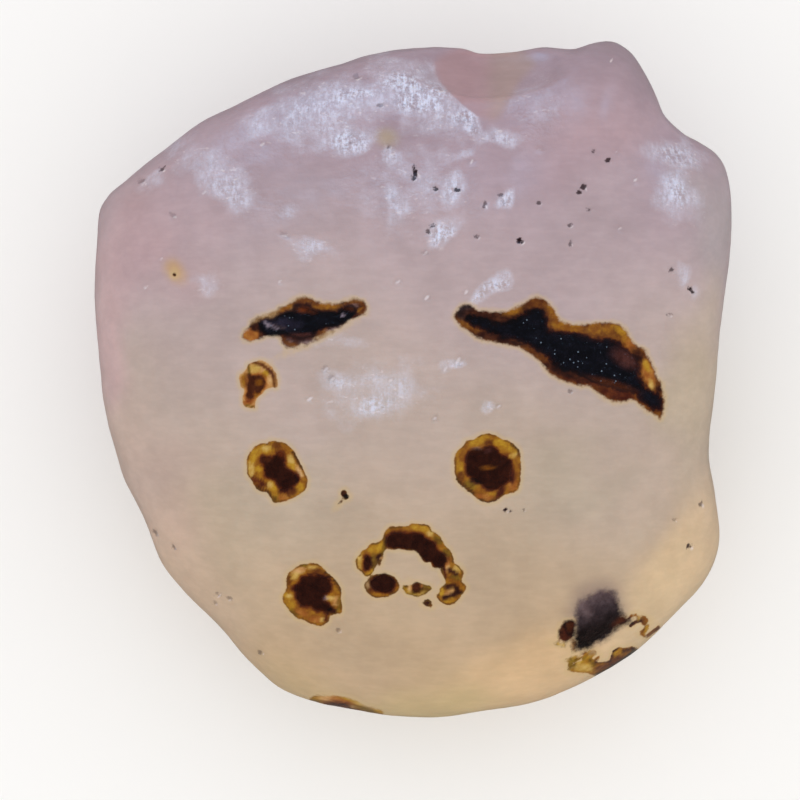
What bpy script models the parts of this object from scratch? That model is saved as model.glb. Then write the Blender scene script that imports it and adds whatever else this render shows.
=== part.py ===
"""A wind-polished gobi agate pebble, lying on the flat spot of its underside with the marked face up.

Metres, +Z up. The origin is the middle of the base, and +Y is the stone's top edge as it is looked at
from above. The shape is worked out in millimetres and scaled once, at the end.
"""

import math

import bmesh
import bpy
import numpy as np

MM = 0.001

# Overall thicknesses, measured from the widest line of the stone, the girdle
CROWN_HEIGHT = 12.0
KEEL_DEPTH = 11.0

# Rows of faces along each side of the starting cube, and how strongly they are gathered on the crown
ROWS = 28
CROWN_GATHER = 0.72

# The outline seen from above, anticlockwise from the right: x, y
OUTLINE = [
    (21.5, 0.5), (21.8, 4.4), (22.4, 8.7), (22.6, 11.7), (22.3, 14.9), (21.6, 16.1),
    (20.3, 16.9), (18.9, 17.5), (17.6, 18.6), (17.1, 20.0), (16.3, 21.6), (15.3, 23.2),
    (14.0, 23.9), (12.4, 23.7), (11.2, 23.2), (9.2, 23.5), (6.8, 23.0), (4.7, 22.9),
    (3.4, 23.4), (-0.9, 23.4), (-3.0, 23.0), (-5.9, 22.1), (-8.9, 21.2), (-12.2, 19.6),
    (-15.1, 18.3), (-17.3, 16.7), (-20.3, 14.4), (-21.7, 13.3), (-22.4, 12.1), (-22.5, 9.4),
    (-22.6, 5.1), (-22.2, 1.2), (-22.1, -1.3), (-21.5, -3.8), (-20.8, -6.5), (-19.3, -9.6),
    (-18.1, -12.9), (-16.0, -15.4), (-13.3, -18.1), (-11.3, -20.6), (-9.0, -22.3), (-5.1, -23.3),
    (-1.0, -23.9), (1.2, -24.0), (4.9, -23.5), (8.5, -22.9), (11.7, -21.7), (15.3, -19.7),
    (18.5, -16.8), (20.8, -14.4), (21.7, -12.7), (21.9, -10.9), (21.6, -8.4), (20.9, -4.9),
]

# How the girdle rises and falls around the stone: bearing in degrees, height
GIRDLE = [
    (0, 0.2), (35, 1.5), (60, 3.3), (90, 2.9), (115, 2.6),
    (150, 1.0), (190, -0.8), (235, -1.2), (290, -0.3),
]

# How square the crown's shoulder is: bearing, exponent of the superellipse (2 is round, more is squarer)
SHOULDER = [
    (0, 2.9), (40, 2.7), (75, 2.5), (105, 2.5), (140, 2.7),
    (180, 3.2), (225, 3.0), (270, 3.0), (315, 2.8),
]
KEEL_SHOULDER = 2.3

# Lumps and nicks of the outline die away above and below the girdle: their span, and how fast they go
LUMP_SPAN = math.radians(24)
LUMP_FADE = 1.2
NICK_SPAN = math.radians(6)
NICK_FADE = 6.0

# Swells and hollows of the crown: x, y, half length, half width, turn in degrees, height
CROWN_RELIEF = {
    "lobe in the top right corner": (13.2, 19.4, 6.2, 4.2, 65, 1.3),
    "right shoulder": (18.8, 12.4, 4.6, 2.8, 85, 1.0),
    "saddle between them": (17.8, 16.8, 3.4, 1.8, -30, -0.6),
    "hollow left of the lobe": (7.4, 16.0, 4.4, 2.8, 70, -0.5),
    "brow of the top edge": (-1.6, 19.4, 5.5, 2.6, 5, 0.6),
    "shallow dip of the left shoulder": (-7.5, 13.4, 5.5, 2.6, 15, -0.3),
    "ridge of the left shoulder": (-13.4, 14.0, 3.6, 1.9, 35, 0.35),
    "pitted shelf": (3.4, 9.2, 4.4, 3.6, 25, 0.55),
    "trough between the patches": (2.8, 3.2, 6.5, 2.6, 8, -0.15),
    "mound in the middle": (-3.2, -4.6, 5.0, 3.6, 10, 0.55),
    "cheek on the right": (12.0, -7.0, 6.5, 5.0, 30, 0.35),
    "hollow at the right edge": (18.8, -4.5, 2.8, 4.5, 0, -0.5),
    "lower left flank": (-13.0, -11.0, 6.0, 4.5, 50, -0.35),
    "swell under the ring of spots": (2.0, -17.5, 7.5, 3.0, 0, 0.30),
}

# Swells and hollows of the underside, the same way
KEEL_RELIEF = {
    "long hollow": (-6.0, 9.0, 8.0, 4.0, 25, -0.9),
    "swell at the heel": (7.5, 12.5, 5.5, 4.0, -10, 0.7),
    "swell on the left": (-13.0, -4.0, 5.0, 6.0, 0, 0.6),
    "hollow on the right": (14.0, -6.0, 4.5, 6.0, 15, -0.8),
    "hollow at the foot": (-2.0, -16.0, 7.0, 3.5, -8, -0.7),
}

# Scars of flakes knocked off the sides long ago, then worn: bearing, elevation, scar radius, depth
FLAKE_SCARS = {
    "top left wall": (118, -12, 11.0, 0.9),
    "left wall": (176, -22, 9.0, 0.8),
    "lower left wall": (222, -30, 11.0, 1.1),
    "foot": (275, -26, 9.5, 0.9),
    "right wall": (338, -24, 10.0, 1.0),
    "upper right wall": (38, -28, 8.5, 0.9),
    "heel": (80, -40, 10.0, 1.0),
    "underside left": (200, -62, 9.0, 0.6),
    "underside right": (20, -66, 8.5, 0.6),
}

# The fresher chip in the top edge: middle of its ball x, y, z, and the ball's radius
EDGE_CHIP = (5.0, 28.9, 15.3, 11.0)

# How far the edges of scars and chip were rounded by wear
SCAR_EDGE = 0.25

# The flat spot that the stone rests on: how much of the lowest point was worn away, and its soft border
WORN_AWAY = 0.55
WORN_BORDER = 0.12


def closed_curve(bearing, knots, values):
    """Height of a smooth closed curve at each bearing, in radians: cubic Hermite pieces between the knots.

    The slope at a knot is that of the chord between its two neighbours.
    """
    order = np.argsort(knots)
    knots, values = np.asarray(knots)[order], np.asarray(values)[order]
    turn = 2 * math.pi
    wide_knots = np.concatenate([knots[-2:] - turn, knots, knots[:2] + turn])
    wide_values = np.concatenate([values[-2:], values, values[:2]])
    slopes = (wide_values[2:] - wide_values[:-2]) / (wide_knots[2:] - wide_knots[:-2])
    left_knots, left_values = wide_knots[1:-1], wide_values[1:-1]
    bearing = (bearing - knots[0]) % turn + knots[0]
    piece = np.clip(np.searchsorted(left_knots, bearing, "right") - 1, 0, len(left_knots) - 2)
    span = left_knots[piece + 1] - left_knots[piece]
    t = (bearing - left_knots[piece]) / span
    return (
        (2 * t**3 - 3 * t**2 + 1) * left_values[piece]
        + (t**3 - 2 * t**2 + t) * span * slopes[piece]
        + (3 * t**2 - 2 * t**3) * left_values[piece + 1]
        + (t**3 - t**2) * span * slopes[piece + 1]
    )


def around(bearing, table):
    """Value of a (degrees, value) table at each bearing."""
    degrees, values = zip(*table)
    return closed_curve(bearing, np.radians(degrees), values)


def outline_radius(bearing):
    """Distance from the middle to the outline at each bearing."""
    x, y = np.array(OUTLINE).T
    return closed_curve(bearing, np.arctan2(y, x), np.hypot(x, y))


def averaged_outline_radius(bearing, span):
    """The outline with everything shorter than the span averaged away."""
    offsets = np.linspace(-span, span, 9)
    return np.mean([outline_radius(bearing + offset) for offset in offsets], axis=0)


def section_radius(bearing, lift):
    """Outline of the level section at a height, 0 at the girdle and 1 at the top: smoother the higher."""
    fine = outline_radius(bearing)
    lumps = averaged_outline_radius(bearing, NICK_SPAN)
    soft = averaged_outline_radius(bearing, LUMP_SPAN)
    closeness = 1 - lift**2
    return soft + (lumps - soft) * closeness**LUMP_FADE + (fine - lumps) * closeness**NICK_FADE


def smooth_step(value, low, high):
    """0 below low, 1 above high, and an S-curve between."""
    t = np.clip((value - low) / (high - low), 0, 1)
    return t * t * (3 - 2 * t)


def relief_height(x, y, relief):
    """Sum of elliptical bell shapes, each with its own place, size, turn and height."""
    total = np.zeros_like(x)
    for middle_x, middle_y, half_length, half_width, turn, height in relief.values():
        cosine, sine = math.cos(math.radians(turn)), math.sin(math.radians(turn))
        along = ((x - middle_x) * cosine + (y - middle_y) * sine) / half_length
        across = ((y - middle_y) * cosine - (x - middle_x) * sine) / half_width
        total += height * np.exp(-(along**2 + across**2))
    return total


def gather_on_crown(directions):
    """Slides directions on the unit sphere towards +Z, so that the crown gets more of the faces.

    It scales the stereographic plane seen from the lowest point of the sphere, which keeps angles.
    """
    x, y, z = directions.T
    above, below = 1 + z, CROWN_GATHER**2 * (1 - z)
    gathered = np.stack([2 * CROWN_GATHER * x, 2 * CROWN_GATHER * y, above - below], axis=1)
    return gathered / (above + below)[:, None]


def pebble(directions):
    """The stone before any flake was lost: a superellipse section that follows the outline, with relief."""
    x, y, z = directions.T
    bearing = np.arctan2(y, x)
    level = np.hypot(x, y)
    power = np.where(z > 0, around(bearing, SHOULDER), KEEL_SHOULDER)
    size = (level**power + np.abs(z) ** power) ** (1 / power)
    reach, lift = level / size, z / size
    radius = section_radius(bearing, lift)
    plan_x, plan_y = radius * reach * np.cos(bearing), radius * reach * np.sin(bearing)
    height = np.where(lift > 0, CROWN_HEIGHT, KEEL_DEPTH) * lift + around(bearing, GIRDLE) * reach**2
    height += relief_height(plan_x, plan_y, CROWN_RELIEF) * smooth_step(lift, 0.0, 0.6)
    height -= relief_height(plan_x, plan_y, KEEL_RELIEF) * smooth_step(-lift, 0.0, 0.7)
    return np.stack([plan_x, plan_y, height], axis=1)


def push_out_of_ball(points, middle, radius):
    """Moves points inside a ball out to its skin, with a worn edge where the two surfaces meet."""
    away = points - middle
    distance = np.linalg.norm(away, axis=1)
    gap = distance - radius
    moved = radius + (gap + np.sqrt(gap**2 + SCAR_EDGE**2)) / 2
    blend = smooth_step(-gap, -3 * SCAR_EDGE, 3 * SCAR_EDGE)
    return middle + away * (1 + blend * (moved / distance - 1))[:, None]


def lose_flakes(points):
    """Takes each flake's shallow scar from the place that stands out furthest in its direction."""
    for bearing, elevation, scar_radius, depth in FLAKE_SCARS.values():
        bearing, elevation = math.radians(bearing), math.radians(elevation)
        facing = np.array(
            [
                math.cos(bearing) * math.cos(elevation),
                math.sin(bearing) * math.cos(elevation),
                math.sin(elevation),
            ]
        )
        struck = points[np.argmax(points @ facing)]
        ball_radius = (scar_radius**2 + depth**2) / (2 * depth)
        points = push_out_of_ball(points, struck + facing * (ball_radius - depth), ball_radius)
    return push_out_of_ball(points, np.array(EDGE_CHIP[:3]), EDGE_CHIP[3])


def wear_flat_spot(points):
    """Puts the base at height 0: everything lower than the worn level is flat, with a soft border."""
    height = points[:, 2] - points[:, 2].min() - WORN_AWAY
    soft = (height + WORN_BORDER) ** 2 / (4 * WORN_BORDER)
    worn = np.where(height > WORN_BORDER, height, np.where(height > -WORN_BORDER, soft, 0.0))
    return np.column_stack([points[:, :2], worn])


def stone_points(directions):
    """Finished skin of the stone, in millimetres, for unit directions."""
    return wear_flat_spot(lose_flakes(pebble(gather_on_crown(directions))))


def agate_material():
    """Milky pink chalcedony with a waxy wind polish."""
    material = bpy.data.materials.new("pink_chalcedony")
    material.use_nodes = True
    shader = material.node_tree.nodes["Principled BSDF"]
    shader.inputs["Base Color"].default_value = (0.48, 0.36, 0.33, 1.0)
    shader.inputs["Roughness"].default_value = 0.32
    shader.inputs["Metallic"].default_value = 0.0
    shader.inputs["IOR"].default_value = 1.54
    return material


def build_stone(collection):
    """Cuts a cube into rows, rounds it to a ball, and carries every vertex to the stone's skin."""
    shape = bmesh.new()
    bmesh.ops.create_cube(shape, size=2.0)
    bmesh.ops.subdivide_edges(shape, edges=shape.edges[:], cuts=ROWS - 1, use_grid_fill=True)
    on_cube = np.array([vertex.co for vertex in shape.verts])
    even = np.tan(on_cube * math.pi / 4)
    directions = even / np.linalg.norm(even, axis=1, keepdims=True)
    for vertex, place in zip(shape.verts, stone_points(directions) * MM):
        vertex.co = place
    mesh = bpy.data.meshes.new("agate_stone")
    shape.to_mesh(mesh)
    shape.free()
    mesh.shade_smooth()
    mesh.materials.append(agate_material())
    stone = bpy.data.objects.new("agate_stone", mesh)
    collection.objects.link(stone)
    return stone


def main():
    for leftover in list(bpy.data.objects):
        bpy.data.objects.remove(leftover)
    collection = bpy.data.collections.new("gobi_agate")
    bpy.context.scene.collection.children.link(collection)
    build_stone(collection)


main()
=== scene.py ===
"""Looks of a gobi agate: a milky pink chalcedony pebble, polished by wind and sand, with dark stains.

The stone's skin is worked out again from the same named sizes as its solid, on a finer grid. Wind dimples,
ripples and pits are added to it, and the stains are carried on it as distances to their traced borders.
All sizes are in millimetres until the mesh is made, +Z is up, and +Y is the stone's top edge seen from above.
"""

import logging
import math
from dataclasses import dataclass, field
from enum import Enum

import bpy
import numpy as np
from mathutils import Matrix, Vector


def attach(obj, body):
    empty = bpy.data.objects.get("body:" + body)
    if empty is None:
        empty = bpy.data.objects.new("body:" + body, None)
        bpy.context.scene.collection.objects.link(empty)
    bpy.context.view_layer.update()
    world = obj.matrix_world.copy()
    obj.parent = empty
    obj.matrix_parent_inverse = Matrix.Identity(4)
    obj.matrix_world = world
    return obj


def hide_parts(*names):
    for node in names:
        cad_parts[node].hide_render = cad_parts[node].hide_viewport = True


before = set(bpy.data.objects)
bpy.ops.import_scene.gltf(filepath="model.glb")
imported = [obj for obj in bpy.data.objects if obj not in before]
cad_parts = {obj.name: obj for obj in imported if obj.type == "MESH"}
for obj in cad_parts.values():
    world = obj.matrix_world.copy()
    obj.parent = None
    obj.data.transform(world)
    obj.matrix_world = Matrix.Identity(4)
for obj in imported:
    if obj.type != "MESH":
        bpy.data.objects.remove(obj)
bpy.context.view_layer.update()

log = logging.getLogger("gobi_agate")

MM = 0.001

Point = tuple[float, float]
Colour = tuple[float, float, float]

# The eye from which the markings were traced, over the stone: x, y, and its height above the girdle plane
EYE = (-0.94, -1.29)
EYE_HEIGHT = 160.5
GIRDLE_PLANE = 10.45

# How softly crown changes to keel, and how deep a shape is sunk where it isn't to show, both in millimetres
GIRDLE_BLUR = 1.0
HIDING = 2.0

# A shape's depth is told to this far outside it, in millimetres, and places are compared in blocks of so many
FAR_OUTSIDE = 1.5
BLOCK = 2000

# Where an oval's soft effect starts and where it is full, as distance from its middle with its edge at 1
OVAL_FADE = (1.6, 0.2)

# The same for a dot's edge, as shares of its radius, and for a tint's edge, as shares of its softness
DOT_EDGE = (1.3, 0.6)
TINT_EDGE = (-1.5, 0.5)

# Bearings at which the outline is told, and over how many on each side its height is averaged
DEGREES = 360
OUTLINE_SPREAD = 5


def smooth_step(value: np.ndarray, low: float, high: float) -> np.ndarray:
    """0 below low, 1 above high, and the curve 3t^2 - 2t^3 between."""
    t = np.clip((value - low) / (high - low), 0, 1)
    return t * t * (3 - 2 * t)


def closed_curve(bearing: np.ndarray, knots: np.ndarray, values: np.ndarray) -> np.ndarray:
    """Height of a smooth closed curve: cubic Hermite pieces whose slope at a knot is its neighbours' chord.

    Args:
        bearing: where the curve is read, in radians.
        knots: bearings of its given points, in radians.
        values: heights at the knots.

    Returns:
        The height at each bearing.
    """
    order = np.argsort(knots)
    knots, values = np.asarray(knots)[order], np.asarray(values)[order]
    turn = 2 * math.pi
    wide_knots = np.concatenate([knots[-2:] - turn, knots, knots[:2] + turn])
    wide_values = np.concatenate([values[-2:], values, values[:2]])
    slopes = (wide_values[2:] - wide_values[:-2]) / (wide_knots[2:] - wide_knots[:-2])
    left_knots, left_values = wide_knots[1:-1], wide_values[1:-1]
    bearing = (bearing - knots[0]) % turn + knots[0]
    piece = np.clip(np.searchsorted(left_knots, bearing, "right") - 1, 0, len(left_knots) - 2)
    span = left_knots[piece + 1] - left_knots[piece]
    t = (bearing - left_knots[piece]) / span
    return (
        (2 * t**3 - 3 * t**2 + 1) * left_values[piece]
        + (t**3 - 2 * t**2 + t) * span * slopes[piece]
        + (3 * t**2 - 2 * t**3) * left_values[piece + 1]
        + (t**3 - t**2) * span * slopes[piece + 1]
    )


def around(bearing: np.ndarray, table: tuple[Point, ...]) -> np.ndarray:
    """Value of a table of (degrees, value) rows at each bearing, in radians."""
    degrees, values = zip(*table)
    return closed_curve(bearing, np.radians(degrees), values)


@dataclass(frozen=True)
class Oval:
    """An oval as seen from above: its place, half sizes along and across it, and its turn in degrees."""

    x: float
    y: float
    half_length: float
    half_width: float
    turn: float

    def span(self, places: np.ndarray) -> np.ndarray:
        """Distance of places from the middle, 1 at the oval's edge."""
        cosine, sine = math.cos(math.radians(self.turn)), math.sin(math.radians(self.turn))
        x, y = places[:, 0] - self.x, places[:, 1] - self.y
        return np.hypot((x * cosine + y * sine) / self.half_length, (y * cosine - x * sine) / self.half_width)

    def narrow(self) -> float:
        """The shorter half size."""
        return min(self.half_length, self.half_width)

    def inside(self, places: np.ndarray) -> np.ndarray:
        """Depth inside the oval, near enough: one minus the span, times the shorter half size."""
        return (1 - self.span(places)) * self.narrow()

    def fading(self, places: np.ndarray) -> np.ndarray:
        """1 around the middle and 0 outside, with a soft change between."""
        return smooth_step(self.span(places), *OVAL_FADE)


@dataclass(frozen=True)
class Relief(Oval):
    """A swell or a hollow: its height times exp(-span^2)."""

    height: float

    def at(self, places: np.ndarray) -> np.ndarray:
        """Height of the swell at each place."""
        return self.height * np.exp(-(self.span(places) ** 2))


@dataclass(frozen=True)
class PebbleForm:
    """The solid form of the stone, with the sizes its solid has."""

    crown_height: float = 12.0
    keel_depth: float = 11.0
    keel_shoulder: float = 2.3
    lump_span: float = math.radians(24)
    lump_fade: float = 1.2
    nick_span: float = math.radians(6)
    nick_fade: float = 6.0
    scar_edge: float = 0.25
    worn_away: float = 0.55
    worn_border: float = 0.12
    averaged: int = 9
    crown_rises: float = 0.6
    keel_rises: float = 0.7
    edge_chip: tuple[float, float, float, float] = (5.0, 28.9, 15.3, 11.0)
    outline: tuple[Point, ...] = (
        (21.5, 0.5), (21.8, 4.4), (22.4, 8.7), (22.6, 11.7), (22.3, 14.9), (21.6, 16.1), (20.3, 16.9),
        (18.9, 17.5), (17.6, 18.6), (17.1, 20.0), (16.3, 21.6), (15.3, 23.2), (14.0, 23.9), (12.4, 23.7),
        (11.2, 23.2), (9.2, 23.5), (6.8, 23.0), (4.7, 22.9), (3.4, 23.4), (-0.9, 23.4), (-3.0, 23.0),
        (-5.9, 22.1), (-8.9, 21.2), (-12.2, 19.6), (-15.1, 18.3), (-17.3, 16.7), (-20.3, 14.4),
        (-21.7, 13.3), (-22.4, 12.1), (-22.5, 9.4), (-22.6, 5.1), (-22.2, 1.2), (-22.1, -1.3),
        (-21.5, -3.8), (-20.8, -6.5), (-19.3, -9.6), (-18.1, -12.9), (-16.0, -15.4), (-13.3, -18.1),
        (-11.3, -20.6), (-9.0, -22.3), (-5.1, -23.3), (-1.0, -23.9), (1.2, -24.0), (4.9, -23.5),
        (8.5, -22.9), (11.7, -21.7), (15.3, -19.7), (18.5, -16.8), (20.8, -14.4), (21.7, -12.7),
        (21.9, -10.9), (21.6, -8.4), (20.9, -4.9),
    )
    girdle: tuple[Point, ...] = (
        (0, 0.2), (35, 1.5), (60, 3.3), (90, 2.9), (115, 2.6), (150, 1.0), (190, -0.8), (235, -1.2),
        (290, -0.3),
    )
    shoulder: tuple[Point, ...] = (
        (0, 2.9), (40, 2.7), (75, 2.5), (105, 2.5), (140, 2.7), (180, 3.2), (225, 3.0), (270, 3.0),
        (315, 2.8),
    )
    crown_relief: tuple[Relief, ...] = (
        Relief(13.2, 19.4, 6.2, 4.2, 65, 1.3),  # lobe in the top right corner
        Relief(18.8, 12.4, 4.6, 2.8, 85, 1.0),  # right shoulder
        Relief(17.8, 16.8, 3.4, 1.8, -30, -0.6),  # saddle between them
        Relief(7.4, 16.0, 4.4, 2.8, 70, -0.5),  # hollow left of the lobe
        Relief(-1.6, 19.4, 5.5, 2.6, 5, 0.6),  # brow of the top edge
        Relief(-7.5, 13.4, 5.5, 2.6, 15, -0.3),  # shallow dip of the left shoulder
        Relief(-13.4, 14.0, 3.6, 1.9, 35, 0.35),  # ridge of the left shoulder
        Relief(3.4, 9.2, 4.4, 3.6, 25, 0.55),  # pitted shelf
        Relief(2.8, 3.2, 6.5, 2.6, 8, -0.15),  # trough between the patches
        Relief(-3.2, -4.6, 5.0, 3.6, 10, 0.55),  # mound in the middle
        Relief(12.0, -7.0, 6.5, 5.0, 30, 0.35),  # cheek on the right
        Relief(18.8, -4.5, 2.8, 4.5, 0, -0.5),  # hollow at the right edge
        Relief(-13.0, -11.0, 6.0, 4.5, 50, -0.35),  # lower left flank
        Relief(2.0, -17.5, 7.5, 3.0, 0, 0.30),  # swell under the ring of spots
    )
    keel_relief: tuple[Relief, ...] = (
        Relief(-6.0, 9.0, 8.0, 4.0, 25, -0.9),
        Relief(7.5, 12.5, 5.5, 4.0, -10, 0.7),
        Relief(-13.0, -4.0, 5.0, 6.0, 0, 0.6),
        Relief(14.0, -6.0, 4.5, 6.0, 15, -0.8),
        Relief(-2.0, -16.0, 7.0, 3.5, -8, -0.7),
    )
    # Flake scars: bearing, elevation, scar radius, depth
    flake_scars: tuple[tuple[float, float, float, float], ...] = (
        (118, -12, 11.0, 0.9), (176, -22, 9.0, 0.8), (222, -30, 11.0, 1.1),
        (275, -26, 9.5, 0.9), (338, -24, 10.0, 1.0), (38, -28, 8.5, 0.9),
        (80, -40, 10.0, 1.0), (200, -62, 9.0, 0.6), (20, -66, 8.5, 0.6),
    )

    def outline_radius(self, bearing: np.ndarray) -> np.ndarray:
        """Distance from the middle to the outline at each bearing."""
        x, y = np.array(self.outline).T
        return closed_curve(bearing, np.arctan2(y, x), np.hypot(x, y))

    def averaged_outline(self, bearing: np.ndarray, span: float) -> np.ndarray:
        """The outline with everything shorter than the span averaged away."""
        offsets = np.linspace(-span, span, self.averaged)
        return np.mean([self.outline_radius(bearing + offset) for offset in offsets], axis=0)

    def section_radius(self, bearing: np.ndarray, lift: np.ndarray) -> np.ndarray:
        """Outline of the level section at a lift, 0 at the girdle and 1 at the top: smoother the higher."""
        fine = self.outline_radius(bearing)
        lumps = self.averaged_outline(bearing, self.nick_span)
        soft = self.averaged_outline(bearing, self.lump_span)
        closeness = 1 - lift**2
        return soft + (lumps - soft) * closeness**self.lump_fade + (fine - lumps) * closeness**self.nick_fade

    def pebble(self, directions: np.ndarray) -> np.ndarray:
        """The stone before any flake was lost.

        Each direction gives a reach and a lift on the superellipse reach^p + lift^p = 1. The reach scales the
        section's outline, the lift scales the thickness, and the girdle's rise and the relief are added.

        Args:
            directions: unit vectors, one a row.

        Returns:
            Points of the skin, the girdle plane at height 0.
        """
        x, y, z = directions.T
        bearing = np.arctan2(y, x)
        level = np.hypot(x, y)
        power = np.where(z > 0, around(bearing, self.shoulder), self.keel_shoulder)
        size = (level**power + np.abs(z) ** power) ** (1 / power)
        reach, lift = level / size, z / size
        radius = self.section_radius(bearing, lift)
        plan_x, plan_y = radius * reach * np.cos(bearing), radius * reach * np.sin(bearing)
        thickness = np.where(lift > 0, self.crown_height, self.keel_depth)
        height = thickness * lift + around(bearing, self.girdle) * reach**2
        plan = np.stack([plan_x, plan_y], axis=1)
        crown = sum(swell.at(plan) for swell in self.crown_relief)
        keel = sum(swell.at(plan) for swell in self.keel_relief)
        height += crown * smooth_step(lift, 0.0, self.crown_rises)
        height -= keel * smooth_step(-lift, 0.0, self.keel_rises)
        return np.column_stack([plan, height])

    def push_out_of_ball(self, points: np.ndarray, middle: np.ndarray, radius: float) -> np.ndarray:
        """Moves points inside a ball out to its skin, with a worn edge where the two surfaces meet."""
        away = points - middle
        distance = np.linalg.norm(away, axis=1)
        gap = distance - radius
        moved = radius + (gap + np.sqrt(gap**2 + self.scar_edge**2)) / 2
        blend = smooth_step(-gap, -3 * self.scar_edge, 3 * self.scar_edge)
        return middle + away * (1 + blend * (moved / distance - 1))[:, None]

    def lose_flakes(self, points: np.ndarray) -> np.ndarray:
        """Takes each flake's shallow scar where the stone stands out furthest its way, then the chip."""
        for bearing, elevation, scar_radius, depth in self.flake_scars:
            bearing, elevation = math.radians(bearing), math.radians(elevation)
            level = math.cos(elevation)
            facing = np.array([math.cos(bearing) * level, math.sin(bearing) * level, math.sin(elevation)])
            struck = points[np.argmax(points @ facing)]
            ball_radius = (scar_radius**2 + depth**2) / (2 * depth)
            points = self.push_out_of_ball(points, struck + facing * (ball_radius - depth), ball_radius)
        return self.push_out_of_ball(points, np.array(self.edge_chip[:3]), self.edge_chip[3])

    def wear_flat_spot(self, points: np.ndarray) -> np.ndarray:
        """Puts the base at height 0, flat below the worn level and with a soft quadratic border."""
        height = points[:, 2] - points[:, 2].min() - self.worn_away
        soft = (height + self.worn_border) ** 2 / (4 * self.worn_border)
        worn = np.where(height > self.worn_border, height, np.where(height > -self.worn_border, soft, 0.0))
        return np.column_stack([points[:, :2], worn])

    def skin(self, directions: np.ndarray) -> np.ndarray:
        """Points of the stone's skin, base at height 0, for unit directions."""
        return self.wear_flat_spot(self.lose_flakes(self.pebble(directions)))


@dataclass(frozen=True)
class BallGrid:
    """A closed grid of quads on the unit ball: a cube's six faces cut in rows, evened out and blown round.

    The rows are then gathered towards +Z by scaling the stereographic plane seen from the lowest point.
    """

    rows: int = 128
    gather: float = 0.5

    def faces(self) -> tuple[np.ndarray, np.ndarray]:
        """The cube's grid as whole numbers, doubled points merged.

        Returns:
            Grid points from -rows to rows on the cube, and quads of their indices, all facing outwards.
        """
        steps = np.arange(-self.rows, self.rows + 1, 2)
        u, v = np.meshgrid(steps, steps, indexing="ij")
        far = np.full_like(u, self.rows)
        sides = [(far, u, v), (-far, v, u), (v, far, u), (u, -far, v), (u, v, far), (v, u, -far)]
        places = np.concatenate([np.stack(side, axis=-1).reshape(-1, 3) for side in sides])
        width = self.rows + 1
        i, j = np.meshgrid(np.arange(self.rows), np.arange(self.rows), indexing="ij")
        first = (i * width + j).reshape(-1)
        quad = np.stack([first, first + width, first + width + 1, first + 1], axis=1)
        quads = np.concatenate([quad + side * width * width for side in range(6)])
        merged, where = np.unique(places, axis=0, return_inverse=True)
        return merged, where.reshape(-1)[quads]

    def directions(self, places: np.ndarray) -> np.ndarray:
        """Unit directions of the cube's grid points, evened by a tangent and gathered towards +Z."""
        even = np.tan(places / self.rows * math.pi / 4)
        x, y, z = (even / np.linalg.norm(even, axis=1, keepdims=True)).T
        above, below = 1 + z, self.gather**2 * (1 - z)
        gathered = np.stack([2 * self.gather * x, 2 * self.gather * y, above - below], axis=1)
        return gathered / (above + below)[:, None]


def corner_normals(points: np.ndarray, quads: np.ndarray) -> np.ndarray:
    """Unit normal at each point: the sum of the cross products of its quads' diagonals."""
    face = np.cross(points[quads[:, 2]] - points[quads[:, 0]], points[quads[:, 3]] - points[quads[:, 1]])
    total = np.zeros_like(points)
    for axis in range(3):
        total[:, axis] = np.bincount(quads.reshape(-1), np.repeat(face[:, axis], 4), len(points))
    return total / np.linalg.norm(total, axis=1, keepdims=True)


@dataclass(frozen=True)
class Undulation:
    """Waves of one size over the whole skin: plane waves of random direction and phase, summed.

    The height is the sum of cos(2 pi k.p + phase) over the waves, divided by the root of their number.
    """

    shortest: float
    longest: float
    height: float
    waves: int
    seed: int

    def at(self, points: np.ndarray) -> np.ndarray:
        """Height of the waves at each point."""
        draw = np.random.default_rng(self.seed)
        facing = draw.normal(size=(self.waves, 3))
        facing /= np.linalg.norm(facing, axis=1, keepdims=True)
        length = np.exp(draw.uniform(math.log(self.shortest), math.log(self.longest), self.waves))
        phase = draw.uniform(0, 2 * math.pi, self.waves)
        total = np.zeros(len(points))
        for wave in range(self.waves):
            total += np.cos(points @ (facing[wave] * 2 * math.pi / length[wave]) + phase[wave])
        return total * self.height / math.sqrt(self.waves)


Drift = tuple[Undulation, Undulation]


def drifted(points: np.ndarray, drift: Drift) -> np.ndarray:
    """How far two undulations move places sideways, along x and along y."""
    return np.stack([wave.at(points) for wave in drift], axis=1)


@dataclass(frozen=True)
class Pit(Oval):
    """A pit in the crown: how deep it is, and how much dirt is in it."""

    depth: float
    dirt: float


def seen_from_eye(points: np.ndarray) -> np.ndarray:
    """Where points appear on the girdle plane, along lines of sight from the eye."""
    x, y, z = points.T
    scale = EYE_HEIGHT / (EYE_HEIGHT - (z - GIRDLE_PLANE))
    return np.stack([EYE[0] + (x - EYE[0]) * scale, EYE[1] + (y - EYE[1]) * scale], axis=1)


def rounded_loop(corners: tuple[Point, ...], parts: int = 6) -> np.ndarray:
    """A closed Catmull-Rom curve through the corners, each stretch cut in equal parts."""
    p1 = np.array(corners, dtype=float)
    p0, p2, p3 = np.roll(p1, 1, axis=0), np.roll(p1, -1, axis=0), np.roll(p1, -2, axis=0)
    t = (np.arange(parts) / parts)[None, :, None]
    a, b, c, d = (p[:, None, :] for p in (p0, p1, p2, p3))
    curve = 0.5 * (2 * b + (c - a) * t + (2 * a - 5 * b + 4 * c - d) * t**2 + (3 * b - a - 3 * c + d) * t**3)
    return curve.reshape(-1, 2)


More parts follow.
